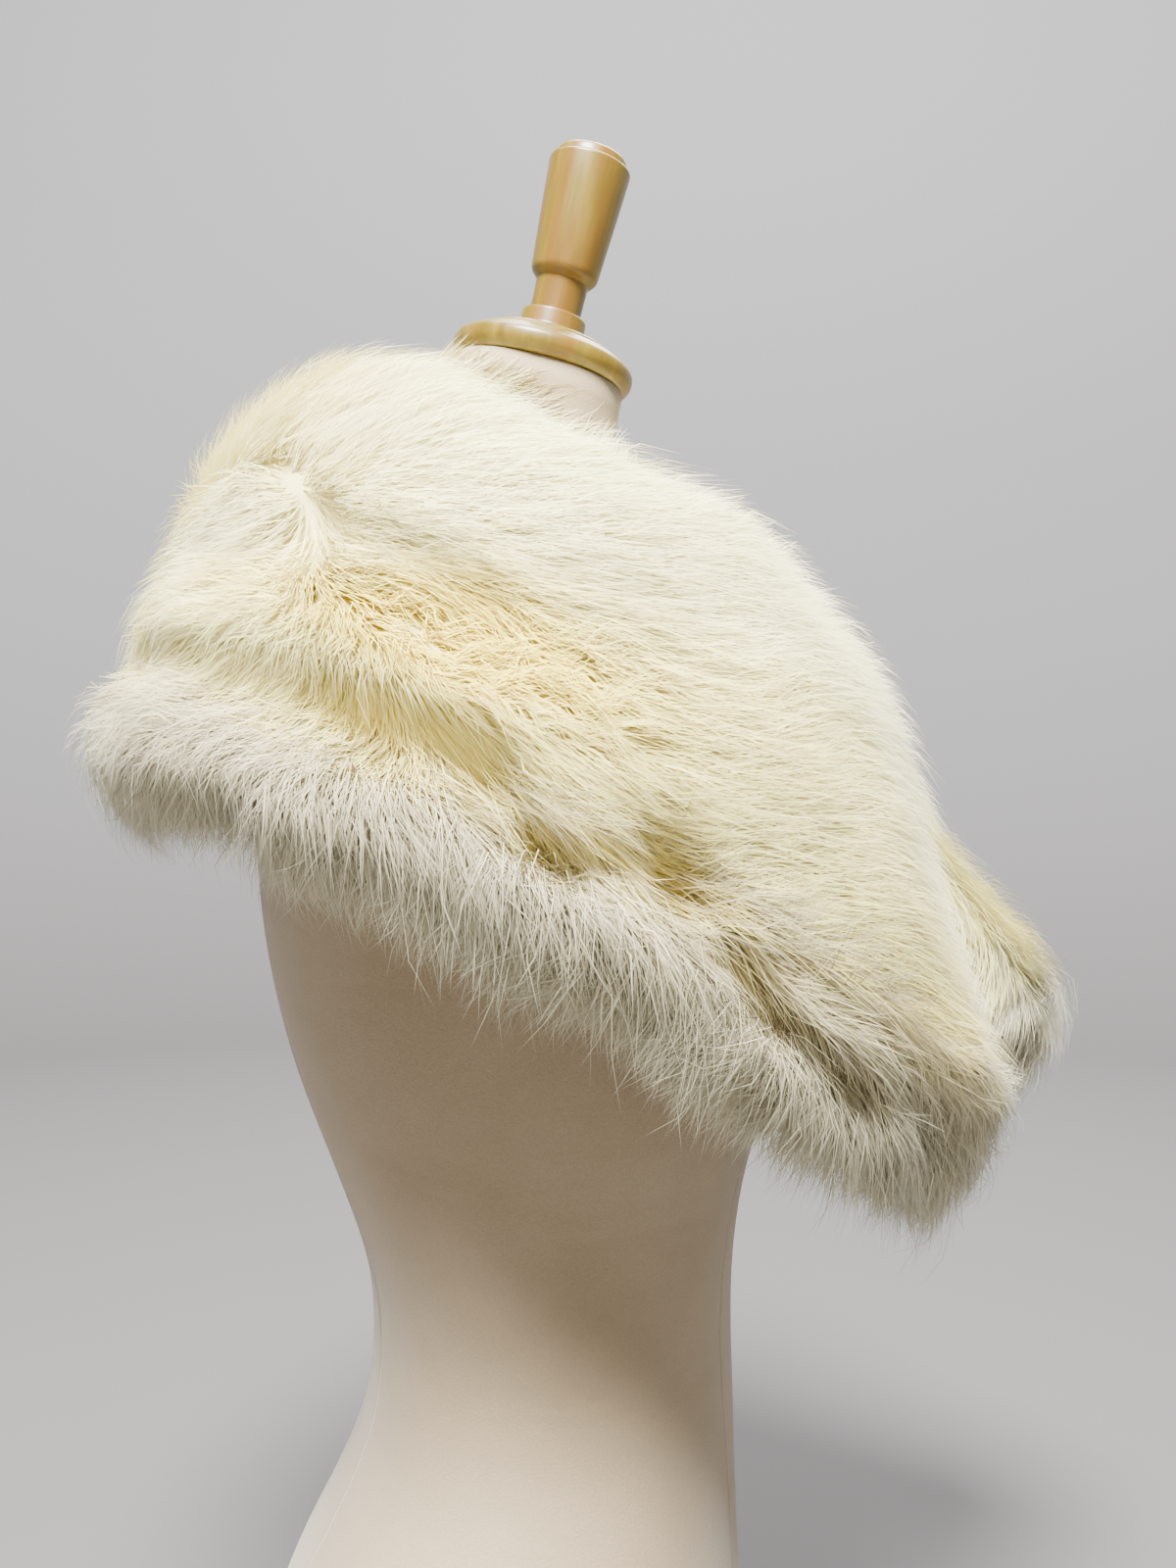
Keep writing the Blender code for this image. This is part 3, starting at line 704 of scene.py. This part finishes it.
# Strands on a free edge where the pelt turns under.
def growRoundEdge(surface, edge, count, levels, coat):
    front, back = wrapForm["front"], wrapForm["back"]
    turned = dice.random(count) * coat["edgeTurn"]
    if edge == "front":
        fromV, toV = coat["vRange"]
        u, v = np.full(count, front), fromV + dice.random(count) * (toV - fromV)
        skin, facing = skinPoint(surface, front - turned, v)
    else:
        edgeV = wrapForm["hemLine"] if edge == "hem" else 0.0
        u, v = front + dice.random(count) * (back - front), np.full(count, edgeV)
        skin, facing = skinPoint(surface, u, v + turned if edge == "hem" else -turned)
    _, normal, forward, down, _, _, _ = lookUp(surface, u, v)
    out = {"front": forward, "hem": down, "neck": -down}[edge]
    along = {"front": down, "hem": forward, "neck": forward}[edge]
    onward = unit(out * np.cos(turned)[:, None] - normal * np.sin(turned)[:, None])
    lockU, lockV = u + turned * habit["edgeLockAcross"], v + turned * habit["edgeLockDown"]
    lock = clumps(lockU, lockV, coat["lock"])[2] - 0.5
    way = combWay(u + surface["shift"], v)
    sideways = {"front": np.sin(way), "hem": np.cos(way), "neck": np.cos(way)}[edge]
    sideways = (sideways * habit["edgeSweep"] + habit["edgeLockTurn"] * lock[:, 0]
                + dice.normal(0, habit["edgeHairTurn"], count))
    if edge == "neck":
        onward = unit(onward + normal * habit["neckStand"])
    flow = unit(onward + along * sideways[:, None])
    length = coat["length"] * coat["edgeLength"] * (
        1 + habit["edgeLockLength"] * lock[:, 2] + dice.normal(0, habit["edgeHairLength"], count))
    lift = np.radians(coat["edgeLift"] + dice.normal(0, habit["edgeHairLift"], count))
    rest = np.radians(coat["edgeRest"] + dice.normal(0, habit["edgeHairRest"], count))
    place = skin.copy()
    points, normals = [place], [facing]
    for level in range(1, levels + 1):
        middle = (level - 0.5) / levels
        slope = (lift * (1 - middle) + rest * middle)[:, None]
        step = (length / levels)[:, None]
        way3 = flow * np.cos(slope) + facing * np.sin(slope)
        way3[:, 2] -= coat["edgeFall"] * middle
        place = place + unit(way3) * step
        if edge == "neck":
            keepOffForm(place, surface["form"], habit["formGap"])
        points.append(place)
        normals.append(facing)
    warm = warmth(u + surface["shift"], v)[:, None] * (0.0 if edge == "front" else habit["edgeWarmth"])
    shade = coat["edgeShade"][edge]
    lighter = (habit["frontEdgeShade"] - shade) * np.exp(-(u - front) / habit["frontFade"])
    return {"points": np.stack(points, 1), "normals": np.stack(normals, 1),
            "warm": np.repeat(warm, levels + 1, 1), "rootShade": shade + lighter, "chance": ownChance(lock)}


ribbon = {
    "taper": 0.75,             # the share of its width that a strand loses on its way to the tip
    "taperPower": 1.6,
    "roll": 0.25,              # how unevenly ribbons are rolled about their own line
    "shimmer": 0.06,
}


# One joined mesh of tapering ribbons. parts holds each kind of strand and its width.
def strandMesh(name, parts, gloss, material):
    vertices, faceStarts, faceTotals, loops, vertexNormals, colours = [], [], [], [], [], []
    vertexCount, loopCount = 0, 0
    for grown, width in parts:
        points, normals, warm = grown["points"], grown["normals"], grown["warm"]
        count, levels = points.shape[:2]
        tangent = unit(np.gradient(points, axis=1))
        roll = dice.normal(0, ribbon["roll"], (count, 1, 1))
        across = unit(np.cross(tangent, normals))
        upright = unit(np.cross(across, tangent))
        across = across * np.cos(roll) + upright * np.sin(roll)
        t = np.linspace(0.0, 1.0, levels)[None, :]
        wide = width[:, None] * (1 - ribbon["taper"] * t ** ribbon["taperPower"])
        left = points - across * (wide / 2)[..., None]
        right = points + across * (wide / 2)[..., None]
        body = np.stack([left[:, :-1], right[:, :-1]], 2).reshape(count, -1, 3)
        own = np.concatenate([body, points[:, -1:]], 1)
        perStrand = own.shape[1]
        facing = unit(normals * (1 - gloss) + np.cross(across, tangent) * gloss
                      + dice.normal(0, ribbon["shimmer"], (count, 1, 3)))
        facing = np.concatenate([np.repeat(facing[:, :-1], 2, axis=1), facing[:, -1:]], 1)
        along = np.concatenate([np.repeat(t[:, :-1], 2, axis=1), t[:, -1:]], 1).repeat(count, 0)
        # rootShade lifts a strand's root end towards its tip colour; where it is low the roots stay dark,
        # which in the hem is painted shade
        rootShade = grown["rootShade"][:, None]
        along = rootShade + (1 - rootShade) * along
        chance = grown["chance"][:, None].repeat(perStrand, 1)
        warmHere = np.concatenate([np.repeat(warm[:, :-1], 2, axis=1), warm[:, -1:]], 1)
        colours.append(np.stack([along, warmHere, chance, np.ones_like(along)], -1).reshape(-1, 4))
        quads = np.array([[2 * k, 2 * k + 1, 2 * k + 3, 2 * k + 2] for k in range(levels - 2)]).reshape(-1)
        pattern = np.concatenate([quads, [perStrand - 3, perStrand - 2, perStrand - 1]]).astype(int)
        base = vertexCount + np.arange(count)[:, None] * perStrand
        loops.append((base + pattern[None, :]).ravel())
        totals = np.array([4] * (levels - 2) + [3])
        faceTotals.append(np.tile(totals, count))
        starts = np.concatenate([[0], np.cumsum(totals)[:-1]])
        faceStarts.append((loopCount + np.arange(count)[:, None] * len(pattern) + starts[None, :]).ravel())
        vertices.append(own.reshape(-1, 3) * mm)
        vertexNormals.append(facing.reshape(-1, 3))
        vertexCount += count * perStrand
        loopCount += count * len(pattern)
    mesh = bpy.data.meshes.new(name)
    mesh.vertices.add(vertexCount)
    mesh.loops.add(loopCount)
    starts = np.concatenate(faceStarts)
    mesh.polygons.add(len(starts))
    mesh.vertices.foreach_set("co", np.concatenate(vertices).ravel())
    mesh.loops.foreach_set("vertex_index", np.concatenate(loops))
    mesh.polygons.foreach_set("loop_start", starts)
    mesh.polygons.foreach_set("loop_total", np.concatenate(faceTotals))
    mesh.polygons.foreach_set("use_smooth", np.ones(len(starts), bool))
    mesh.update(calc_edges=True)
    strand = mesh.attributes.new("strand", "FLOAT_COLOR", "POINT")
    strand.data.foreach_set("color", np.concatenate(colours).ravel())
    mesh.normals_split_custom_set_from_vertices(np.concatenate(vertexNormals))
    mesh.materials.append(material)
    made = bpy.data.objects.new(name, mesh)
    bpy.context.scene.collection.objects.link(made)
    return made


bands = {
    # from v, to v, CAD node, slot
    "collar": (0.0, 0.5, "collar_band", "collar_fur"),
    "shoulder": (0.5, 4 / 6, "shoulder_band", "shoulder_fur"),
    "hem": (4 / 6, wrapForm["hemLine"], "hem_band", "hem_fur"),
}
coats = {
    "collar": {
        "overlap": 0.012,
        "under": 30000, "guard": 24000, "length": 29.0, "guardLength": 36.0, "lift": 38.0, "rest": 7.0,
        "underLevels": 2, "guardLevels": 2,
        "underWidth": 0.62, "guardWidth": 0.34, "lock": 5.0, "pull": 0.18, "wander": 12.0, "bend": 18.0,
        "strayShare": 0.06, "droop": 120.0, "rootShade": 0.45, "gloss": 0.25, "proud": 7.5,
        "edges": {"neck": 2500, "front": 2500}, "edgeTurn": 2.2, "edgeLength": 0.85, "edgeLift": 30.0,
        "edgeRest": 10.0, "edgeFall": 0.0, "edgeShade": {"neck": 0.6, "front": 0.75}, "vRange": (0.0, 0.51),
    },
    "shoulder": {
        "overlap": 0.012,
        "under": 26000, "guard": 18000, "length": 28.0, "guardLength": 36.0, "lift": 38.0, "rest": 8.0,
        "underLevels": 2, "guardLevels": 2,
        "underWidth": 0.66, "guardWidth": 0.36, "lock": 5.5, "pull": 0.24, "wander": 17.0, "bend": 24.0,
        "strayShare": 0.06, "droop": 120.0, "rootShade": 0.3, "gloss": 0.3, "proud": 8.0,
        "edges": {"front": 2600}, "edgeTurn": 2.4, "edgeLength": 0.9, "edgeLift": 35.0,
        "edgeRest": 10.0, "edgeFall": 0.15, "edgeShade": {"front": 0.75}, "vRange": (0.49, 0.69),
    },
    "hem": {
        "overlap": 0.016,
        "under": 16000, "guard": 16000, "length": 34.0, "guardLength": 46.0, "lift": 38.0, "rest": 10.0,
        "underLevels": 2, "guardLevels": 3,
        "underWidth": 0.72, "guardWidth": 0.40, "lock": 9.0, "pull": 0.68, "wander": 30.0, "bend": 36.0,
        # the hem's roots keep the full dark root colour and its hem edge roots nearly so: painted shade deep
        # in the coat and under the turned edge
        "strayShare": 0.07, "droop": 150.0, "rootShade": 0.0, "gloss": 0.45, "proud": 9.5,
        "edges": {"hem": 7600, "front": 4400}, "edgeTurn": 2.6, "edgeLength": 0.6, "edgeLift": 22.0,
        "edgeRest": 4.0, "edgeFall": 0.3, "edgeShade": {"hem": 0.25, "front": 0.7},
        "vRange": (0.65, wrapForm["hemLine"]),
    },
}
strands = {
    "guardPull": 0.75, "guardRest": 2.0,   # guard hair lies looser than underfur
    "overBand": (0.7, 1.3), "atEdge": (0.6, 1.3), "edge": 1.4, "woolly": 0.4,   # shares of the width
    "edgeLevels": 3,
}


def growFur(name, surface, band, share):
    coat = coats[band]
    guard = dict(coat, length=coat["guardLength"], pull=coat["pull"] * strands["guardPull"],
                 rest=coat["rest"] + strands["guardRest"])
    parts = []
    for kind, settings in (("under", coat), ("guard", guard)):
        count = round(coat[kind] * share)
        grown = growOverBand(surface, band, count, coat[f"{kind}Levels"], settings)
        width = coat[f"{kind}Width"] * dice.uniform(*strands["overBand"], count)
        width = width * (1 + strands["woolly"] * grown["woolly"])
        parts.append((grown, width))
    for edge, amount in coat["edges"].items():
        count = round(amount * share)
        grown = growRoundEdge(surface, edge, count, strands["edgeLevels"], guard)
        parts.append((grown, coat["guardWidth"] * strands["edge"] * dice.uniform(*strands["atEdge"], count)))
    return strandMesh(name, parts, coat["gloss"], furMaterials[band])


torsoTree = formTree()
wrapSides = (
    # name, side, front rows, share of the strands, how many degrees its folds are shifted by
    ("right", -1, rightFront, 1.0, 0.0),
    ("left", 1, leftFront, 0.8, 5.0),
)
for sideName, side, frontRows, share, shift in wrapSides:
    surface = buildSurface(side, frontRows, torsoTree, shift)
    for band, (fromV, toV, node, slot) in bands.items():
        pelt, flatSize, flatArea = makePelt(f"{band}Pelt{sideName.title()}", surface, fromV, toV)
        pelt.data.materials.append(furMaterials[band])
        fur = growFur(f"{band}Hair{sideName.title()}", surface, band, share)
        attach(pelt, "root")
        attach(fur, "root")
        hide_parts(f"{node}_{sideName}")
        triangles = sum(len(face.vertices) - 2 for face in fur.data.polygons)
        print(f"{pelt.name}: {flatSize[0]:.3f} x {flatSize[1]:.3f} m, {flatArea:.4f} m2")
        print(f"{fur.name}: {triangles} triangles")


formCloth = {
    "seamOffsets": (0.0, 0.058),   # seams run down the form at the centre and beside the bust
    "seamWidth": 0.0011,
    "seamColour": (0.40, 0.29, 0.18),
    "seamShare": 0.35,
    "darker": (0.38, 0.285, 0.17),
    "lighter": (0.46, 0.36, 0.23),
    "knitDepth": 0.12,
    "wrinkleDepth": 0.9,
    "seamDepth": 0.5,
    "bumpStrength": 0.5,
    "bumpDepth": 0.004,        # metres
    "mergeWithin": 0.00005,
    "quadAngle": 60,
    "sharpAngle": 60,
    "smoothAngle": 50,
}


def jerseyMaterial():
    material, tree, shader = newMaterial(
        "formJersey", Roughness=0.88, Sheen_Weight=0.35, Sheen_Roughness=0.5, Specular_IOR_Level=0.2)
    place = addNode(tree, "ShaderNodeTexCoord").outputs["Object"]
    axes = addNode(tree, "ShaderNodeSeparateXYZ", links={0: place})
    # a fine knit, a slow unevenness of its colour, and wrinkles that run across
    knit = addNode(tree, "ShaderNodeTexNoise", {"Scale": 900.0, "Detail": 2.0}, {"Vector": place})
    soft = addNode(tree, "ShaderNodeTexNoise", {"Scale": 9.0, "Detail": 4.0, "Roughness": 0.55},
                   {"Vector": place})
    stretch = addNode(tree, "ShaderNodeMapping", {"Scale": (5.0, 5.0, 19.0), "Rotation": (0.35, 0.22, 0.0)},
                      {"Vector": place})
    wrinkle = addNode(tree, "ShaderNodeTexNoise", {"Scale": 1.0, "Detail": 2.0, "Distortion": 0.6},
                      {"Vector": stretch.outputs[0]})
    colour = colourRamp(tree, soft.outputs["Fac"], ((0.3, formCloth["darker"]), (0.7, formCloth["lighter"])))
    fine = colourRamp(tree, knit.outputs["Fac"], ((0.3, (0.90, 0.90, 0.90)), (0.7, (1.0, 1.0, 1.0))))
    colour = mixColours(tree, 1.0, colour, fine, "MULTIPLY")
    fromCentre = maths(tree, "ABSOLUTE", axes.outputs["Y"])
    seamMask = None
    for offset in formCloth["seamOffsets"]:
        away = maths(tree, "ABSOLUTE", maths(tree, "SUBTRACT", fromCentre, offset))
        away = maths(tree, "MINIMUM", maths(tree, "DIVIDE", away, formCloth["seamWidth"]), 1.0)
        line = maths(tree, "SUBTRACT", 1.0, away)
        seamMask = line if seamMask is None else maths(tree, "MAXIMUM", seamMask, line)
    seamShare = maths(tree, "MULTIPLY", seamMask, formCloth["seamShare"])
    colour = mixColours(tree, seamShare, colour, formCloth["seamColour"])
    tree.links.new(colour, shader.inputs["Base Color"])
    height = maths(tree, "ADD", maths(tree, "MULTIPLY", knit.outputs["Fac"], formCloth["knitDepth"]),
                   maths(tree, "MULTIPLY", wrinkle.outputs["Fac"], formCloth["wrinkleDepth"]))
    height = maths(tree, "SUBTRACT", height, maths(tree, "MULTIPLY", seamMask, formCloth["seamDepth"]))
    bump = addNode(tree, "ShaderNodeBump",
                   {"Strength": formCloth["bumpStrength"], "Distance": formCloth["bumpDepth"]},
                   {"Height": height})
    tree.links.new(bump.outputs[0], shader.inputs["Normal"])
    return material


def makeFormBody():
    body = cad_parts["form_torso"].copy()
    body.data = body.data.copy()
    body.name = "formBody"
    body.data.name = "formBody"
    body.parent = None
    for key in list(body.keys()):
        del body[key]
    bpy.context.scene.collection.objects.link(body)
    activate(body)
    bpy.ops.object.mode_set(mode="EDIT")
    bpy.ops.mesh.select_all(action="SELECT")
    bpy.ops.mesh.remove_doubles(threshold=formCloth["mergeWithin"])
    quadAngle = math.radians(formCloth["quadAngle"])
    bpy.ops.mesh.tris_convert_to_quads(face_threshold=quadAngle, shape_threshold=quadAngle)
    bpy.ops.object.mode_set(mode="OBJECT")
    work = bmesh.new()
    work.from_mesh(body.data)
    crease = work.edges.layers.float.new("crease_edge")
    for edge in work.edges:
        if len(edge.link_faces) == 2 and edge.calc_face_angle() > math.radians(formCloth["sharpAngle"]):
            edge[crease] = 1.0
    work.to_mesh(body.data)
    work.free()
    applyModifier(body, "smoothing", "SUBSURF", levels=1, render_levels=1)
    activate(body)
    bpy.ops.object.shade_smooth_by_angle(angle=math.radians(formCloth["smoothAngle"]))
    body.data.materials.clear()
    body.data.materials.append(jerseyMaterial())
    return body


formBody = makeFormBody()
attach(formBody, "root")
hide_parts("form_torso")
print("dress form made")


# The cap and the knob are turned about one axis, which leans forward.
woodForm = {
    "lean": 13.5,
    "capCentre": (-6.0, 0.0, 749.0),
    "bossHeight": 25.4,
    "steps": 72,
    "fibreColours": (
        (0.25, (0.095, 0.062, 0.004)), (0.5, (0.145, 0.098, 0.008)), (0.75, (0.215, 0.152, 0.018))),
    "pinkColour": (0.165, 0.068, 0.010),
    "pinkShare": 0.6,
    "smoothest": 0.3,
    "roughest": 0.46,
    "bumpStrength": 0.12,
    "bumpDepth": 0.0006,       # metres
}
capOutline = (
    # radius, height, rounding
    (0.0, 25.0, 0.0), (16.6, 25.0, 1.4), (17.0, 16.0, 1.2), (20.0, 14.4, 0.8), (32.3, 11.8, 1.2),
    (33.6, 9.4, 0.6), (39.5, 8.2, 2.5), (46.3, 3.4, 2.0), (46.8, -2.4, 2.4), (43.4, -7.0, 2.0),
    (0.0, -7.0, 0.0),
)
knobOutline = (
    (0.0, 84.0, 0.0), (17.6, 84.0, 2.0), (18.4, 79.4, 0.5), (21.2, 78.4, 1.4), (19.9, 58.0, 3.0),
    (17.3, 20.4, 2.6), (13.3, 17.0, 0.8), (13.0, 0.0, 0.0), (0.0, 0.0, 0.0),
)


# The outline's corners, each cut to an arc of three chords.
def roundedOutline(outline):
    corners = [Vector(corner[:2]) for corner in outline]
    points = []
    for index, (radius, height, rounding) in enumerate(outline):
        here = corners[index]
        if not rounding:
            points.append(here)
            continue
        before = here + (corners[index - 1] - here).normalized() * rounding
        after = here + (corners[index + 1] - here).normalized() * rounding
        for t in (0.0, 0.33, 0.67, 1.0):
            points.append(before * (1 - t) ** 2 + here * 2 * t * (1 - t) + after * t**2)
    return points


turning = {
    "mergeWithin": 0.00002,
    "sharpAngle": 35,
}


# Spins an outline about its axis, with the axis leaning forward about the foot.
def turnPiece(name, outline, foot, leanDegrees, steps):
    mesh = bpy.data.meshes.new(name)
    points = [(point.x * mm, 0.0, point.y * mm) for point in outline]
    mesh.from_pydata(points, [(index, index + 1) for index in range(len(points) - 1)], [])
    made = bpy.data.objects.new(name, mesh)
    bpy.context.scene.collection.objects.link(made)
    activate(made)
    bpy.ops.object.mode_set(mode="EDIT")
    bpy.ops.mesh.select_all(action="SELECT")
    bpy.ops.mesh.spin(steps=steps, angle=math.tau, center=(0, 0, 0), axis=(0, 0, 1))
    bpy.ops.mesh.select_all(action="SELECT")
    bpy.ops.mesh.remove_doubles(threshold=turning["mergeWithin"])
    bpy.ops.mesh.normals_make_consistent(inside=False)
    bpy.ops.object.mode_set(mode="OBJECT")
    leant = Matrix.Rotation(math.radians(leanDegrees), 4, "Y")
    mesh.transform(Matrix.Translation(Vector(foot) * mm) @ leant)
    bpy.ops.object.shade_smooth_by_angle(angle=math.radians(turning["sharpAngle"]))
    return made


def woodMaterial():
    material, tree, shader = newMaterial(
        "turnedWood", Coat_Weight=0.22, Coat_Roughness=0.25, Specular_IOR_Level=0.4)
    place = addNode(tree, "ShaderNodeTexCoord").outputs["Object"]
    centre = Vector(woodForm["capCentre"]) * mm
    moved = addNode(tree, "ShaderNodeVectorMath", {1: tuple(centre)}, {0: place}, operation="SUBTRACT")
    lean = -math.radians(woodForm["lean"])
    upright = addNode(tree, "ShaderNodeMapping", {"Rotation": (0.0, lean, 0.0)}, {"Vector": moved.outputs[0]})
    grain = addNode(tree, "ShaderNodeMapping", {"Scale": (150.0, 150.0, 9.0)}, {"Vector": upright.outputs[0]})
    fibres = addNode(tree, "ShaderNodeTexNoise",
                     {"Scale": 1.0, "Detail": 5.0, "Roughness": 0.6, "Distortion": 0.4},
                     {"Vector": grain.outputs[0]}).outputs["Fac"]
    wide = addNode(tree, "ShaderNodeMapping", {"Scale": (48.0, 48.0, 4.0), "Location": (3.1, 0.4, 0.0)},
                   {"Vector": upright.outputs[0]})
    streaks = addNode(tree, "ShaderNodeTexNoise", {"Scale": 1.0, "Detail": 2.0, "Distortion": 0.5},
                      {"Vector": wide.outputs[0]})
    colour = colourRamp(tree, fibres, woodForm["fibreColours"])
    pink = colourRamp(tree, streaks.outputs["Fac"], ((0.54, (0.0, 0.0, 0.0)), (0.66, (1.0, 1.0, 1.0))))
    share = maths(tree, "MULTIPLY", pink, woodForm["pinkShare"])
    colour = mixColours(tree, share, colour, woodForm["pinkColour"])
    tree.links.new(colour, shader.inputs["Base Color"])
    rough = addNode(tree, "ShaderNodeMapRange",
                    {"To Min": woodForm["smoothest"], "To Max": woodForm["roughest"]}, {0: fibres})
    tree.links.new(rough.outputs[0], shader.inputs["Roughness"])
    bump = addNode(tree, "ShaderNodeBump",
                   {"Strength": woodForm["bumpStrength"], "Distance": woodForm["bumpDepth"]},
                   {"Height": fibres})
    tree.links.new(bump.outputs[0], shader.inputs["Normal"])
    return material


wood = woodMaterial()
lean = math.radians(woodForm["lean"])
leanWay = Vector((math.sin(lean), 0.0, math.cos(lean)))
capFoot = Vector(woodForm["capCentre"])
knobFoot = capFoot + leanWay * woodForm["bossHeight"]
for name, outline, foot, node in (
    ("neckCapTurned", capOutline, capFoot, "neck_cap"),
    ("knobTurned", knobOutline, knobFoot, "cap_knob"),
):
    piece = turnPiece(name, roundedOutline(outline), foot, woodForm["lean"], woodForm["steps"])
    piece.data.materials.append(wood)
    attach(piece, "root")
    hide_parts(node)
print("cap and knob turned")


studio = {
    "bowlRadius": 3.2,
    "bowlHeight": 5.6,
    "bowlFillet": 0.9,
    "bowlFoot": -0.5,          # millimetres
    "bowlSteps": 64,
    "filletSteps": 12,
    "paintBlend": 0.9,         # the floor's colour passes into the wall's up to this height
    "wallColour": (0.21, 0.206, 0.211),
    "floorColour": (0.12, 0.117, 0.118),
    "lens": 32.4,
    "sensor": 36.0,
    "clipStart": 0.01,
    "cameraPlace": (0.017, -0.720, 0.535),
    "airColour": (0.96, 0.97, 1.0, 1.0),
    "airLight": 0.07,
}
lights = (
    # name, place, aim, size, power, colour
    ("topLight", (-0.2, -1.3, 2.7), (0.0, 0.0, 0.5), 0.9, 570.0, (1.0, 0.985, 0.95)),
    ("farLight", (0.5, 1.5, 2.6), (0.0, 0.0, 0.5), 1.4, 90.0, (1.0, 0.985, 0.96)),
    ("wallLight", (0.2, 1.0, 3.2), (0.0, 3.2, 0.6), 1.8, 260.0, (1.0, 0.99, 0.985)),
)


def makeStudio():
    radius, fillet = studio["bowlRadius"] / mm, studio["bowlFillet"] / mm
    outline = [Vector((0.0, 0.0)), Vector((radius - fillet, 0.0))]
    for step in range(1, studio["filletSteps"] + 1):
        turn = math.pi / 2 * step / studio["filletSteps"]
        outline.append(Vector((radius - fillet + fillet * math.sin(turn), fillet - fillet * math.cos(turn))))
    outline.append(Vector((radius, studio["bowlHeight"] / mm)))
    bowl = turnPiece("studioBowl", outline, (0.0, 0.0, studio["bowlFoot"]), 0.0, studio["bowlSteps"])
    bowl.data.flip_normals()   # the bowl is seen from inside
    material, tree, shader = newMaterial("studioPaint", Roughness=0.9, Specular_IOR_Level=0.1)
    place = addNode(tree, "ShaderNodeTexCoord").outputs["Object"]
    axes = addNode(tree, "ShaderNodeSeparateXYZ", links={0: place})
    stops = ((0.0, studio["floorColour"]), (studio["paintBlend"], studio["wallColour"]))
    paint = colourRamp(tree, axes.outputs["Z"], stops)
    tree.links.new(paint, shader.inputs["Base Color"])
    bowl.data.materials.append(material)


def addAreaLight(name, place, aim, size, power, colour):
    light = bpy.data.lights.new(name, "AREA")
    light.shape = "DISK"
    light.size = size
    light.energy = power
    light.color = colour
    made = bpy.data.objects.new(name, light)
    made.location = place
    made.rotation_euler = (Vector(aim) - Vector(place)).to_track_quat("-Z", "Y").to_euler()
    bpy.context.scene.collection.objects.link(made)


makeStudio()
for light in lights:
    addAreaLight(*light)
world = bpy.data.worlds.new("studioAir")
world.use_nodes = True
background = world.node_tree.nodes["Background"]
background.inputs["Color"].default_value = studio["airColour"]
background.inputs["Strength"].default_value = studio["airLight"]
bpy.context.scene.world = world

camera = bpy.data.objects.new("camera", bpy.data.cameras.new("camera"))
camera.data.lens = studio["lens"]
camera.data.sensor_width = studio["sensor"]
camera.data.sensor_fit = "AUTO"
camera.data.clip_start = studio["clipStart"]
camera.location = studio["cameraPlace"]
camera.rotation_euler = (math.radians(90), 0.0, 0.0)
bpy.context.scene.collection.objects.link(camera)
bpy.context.scene.camera = camera
print("studio set")
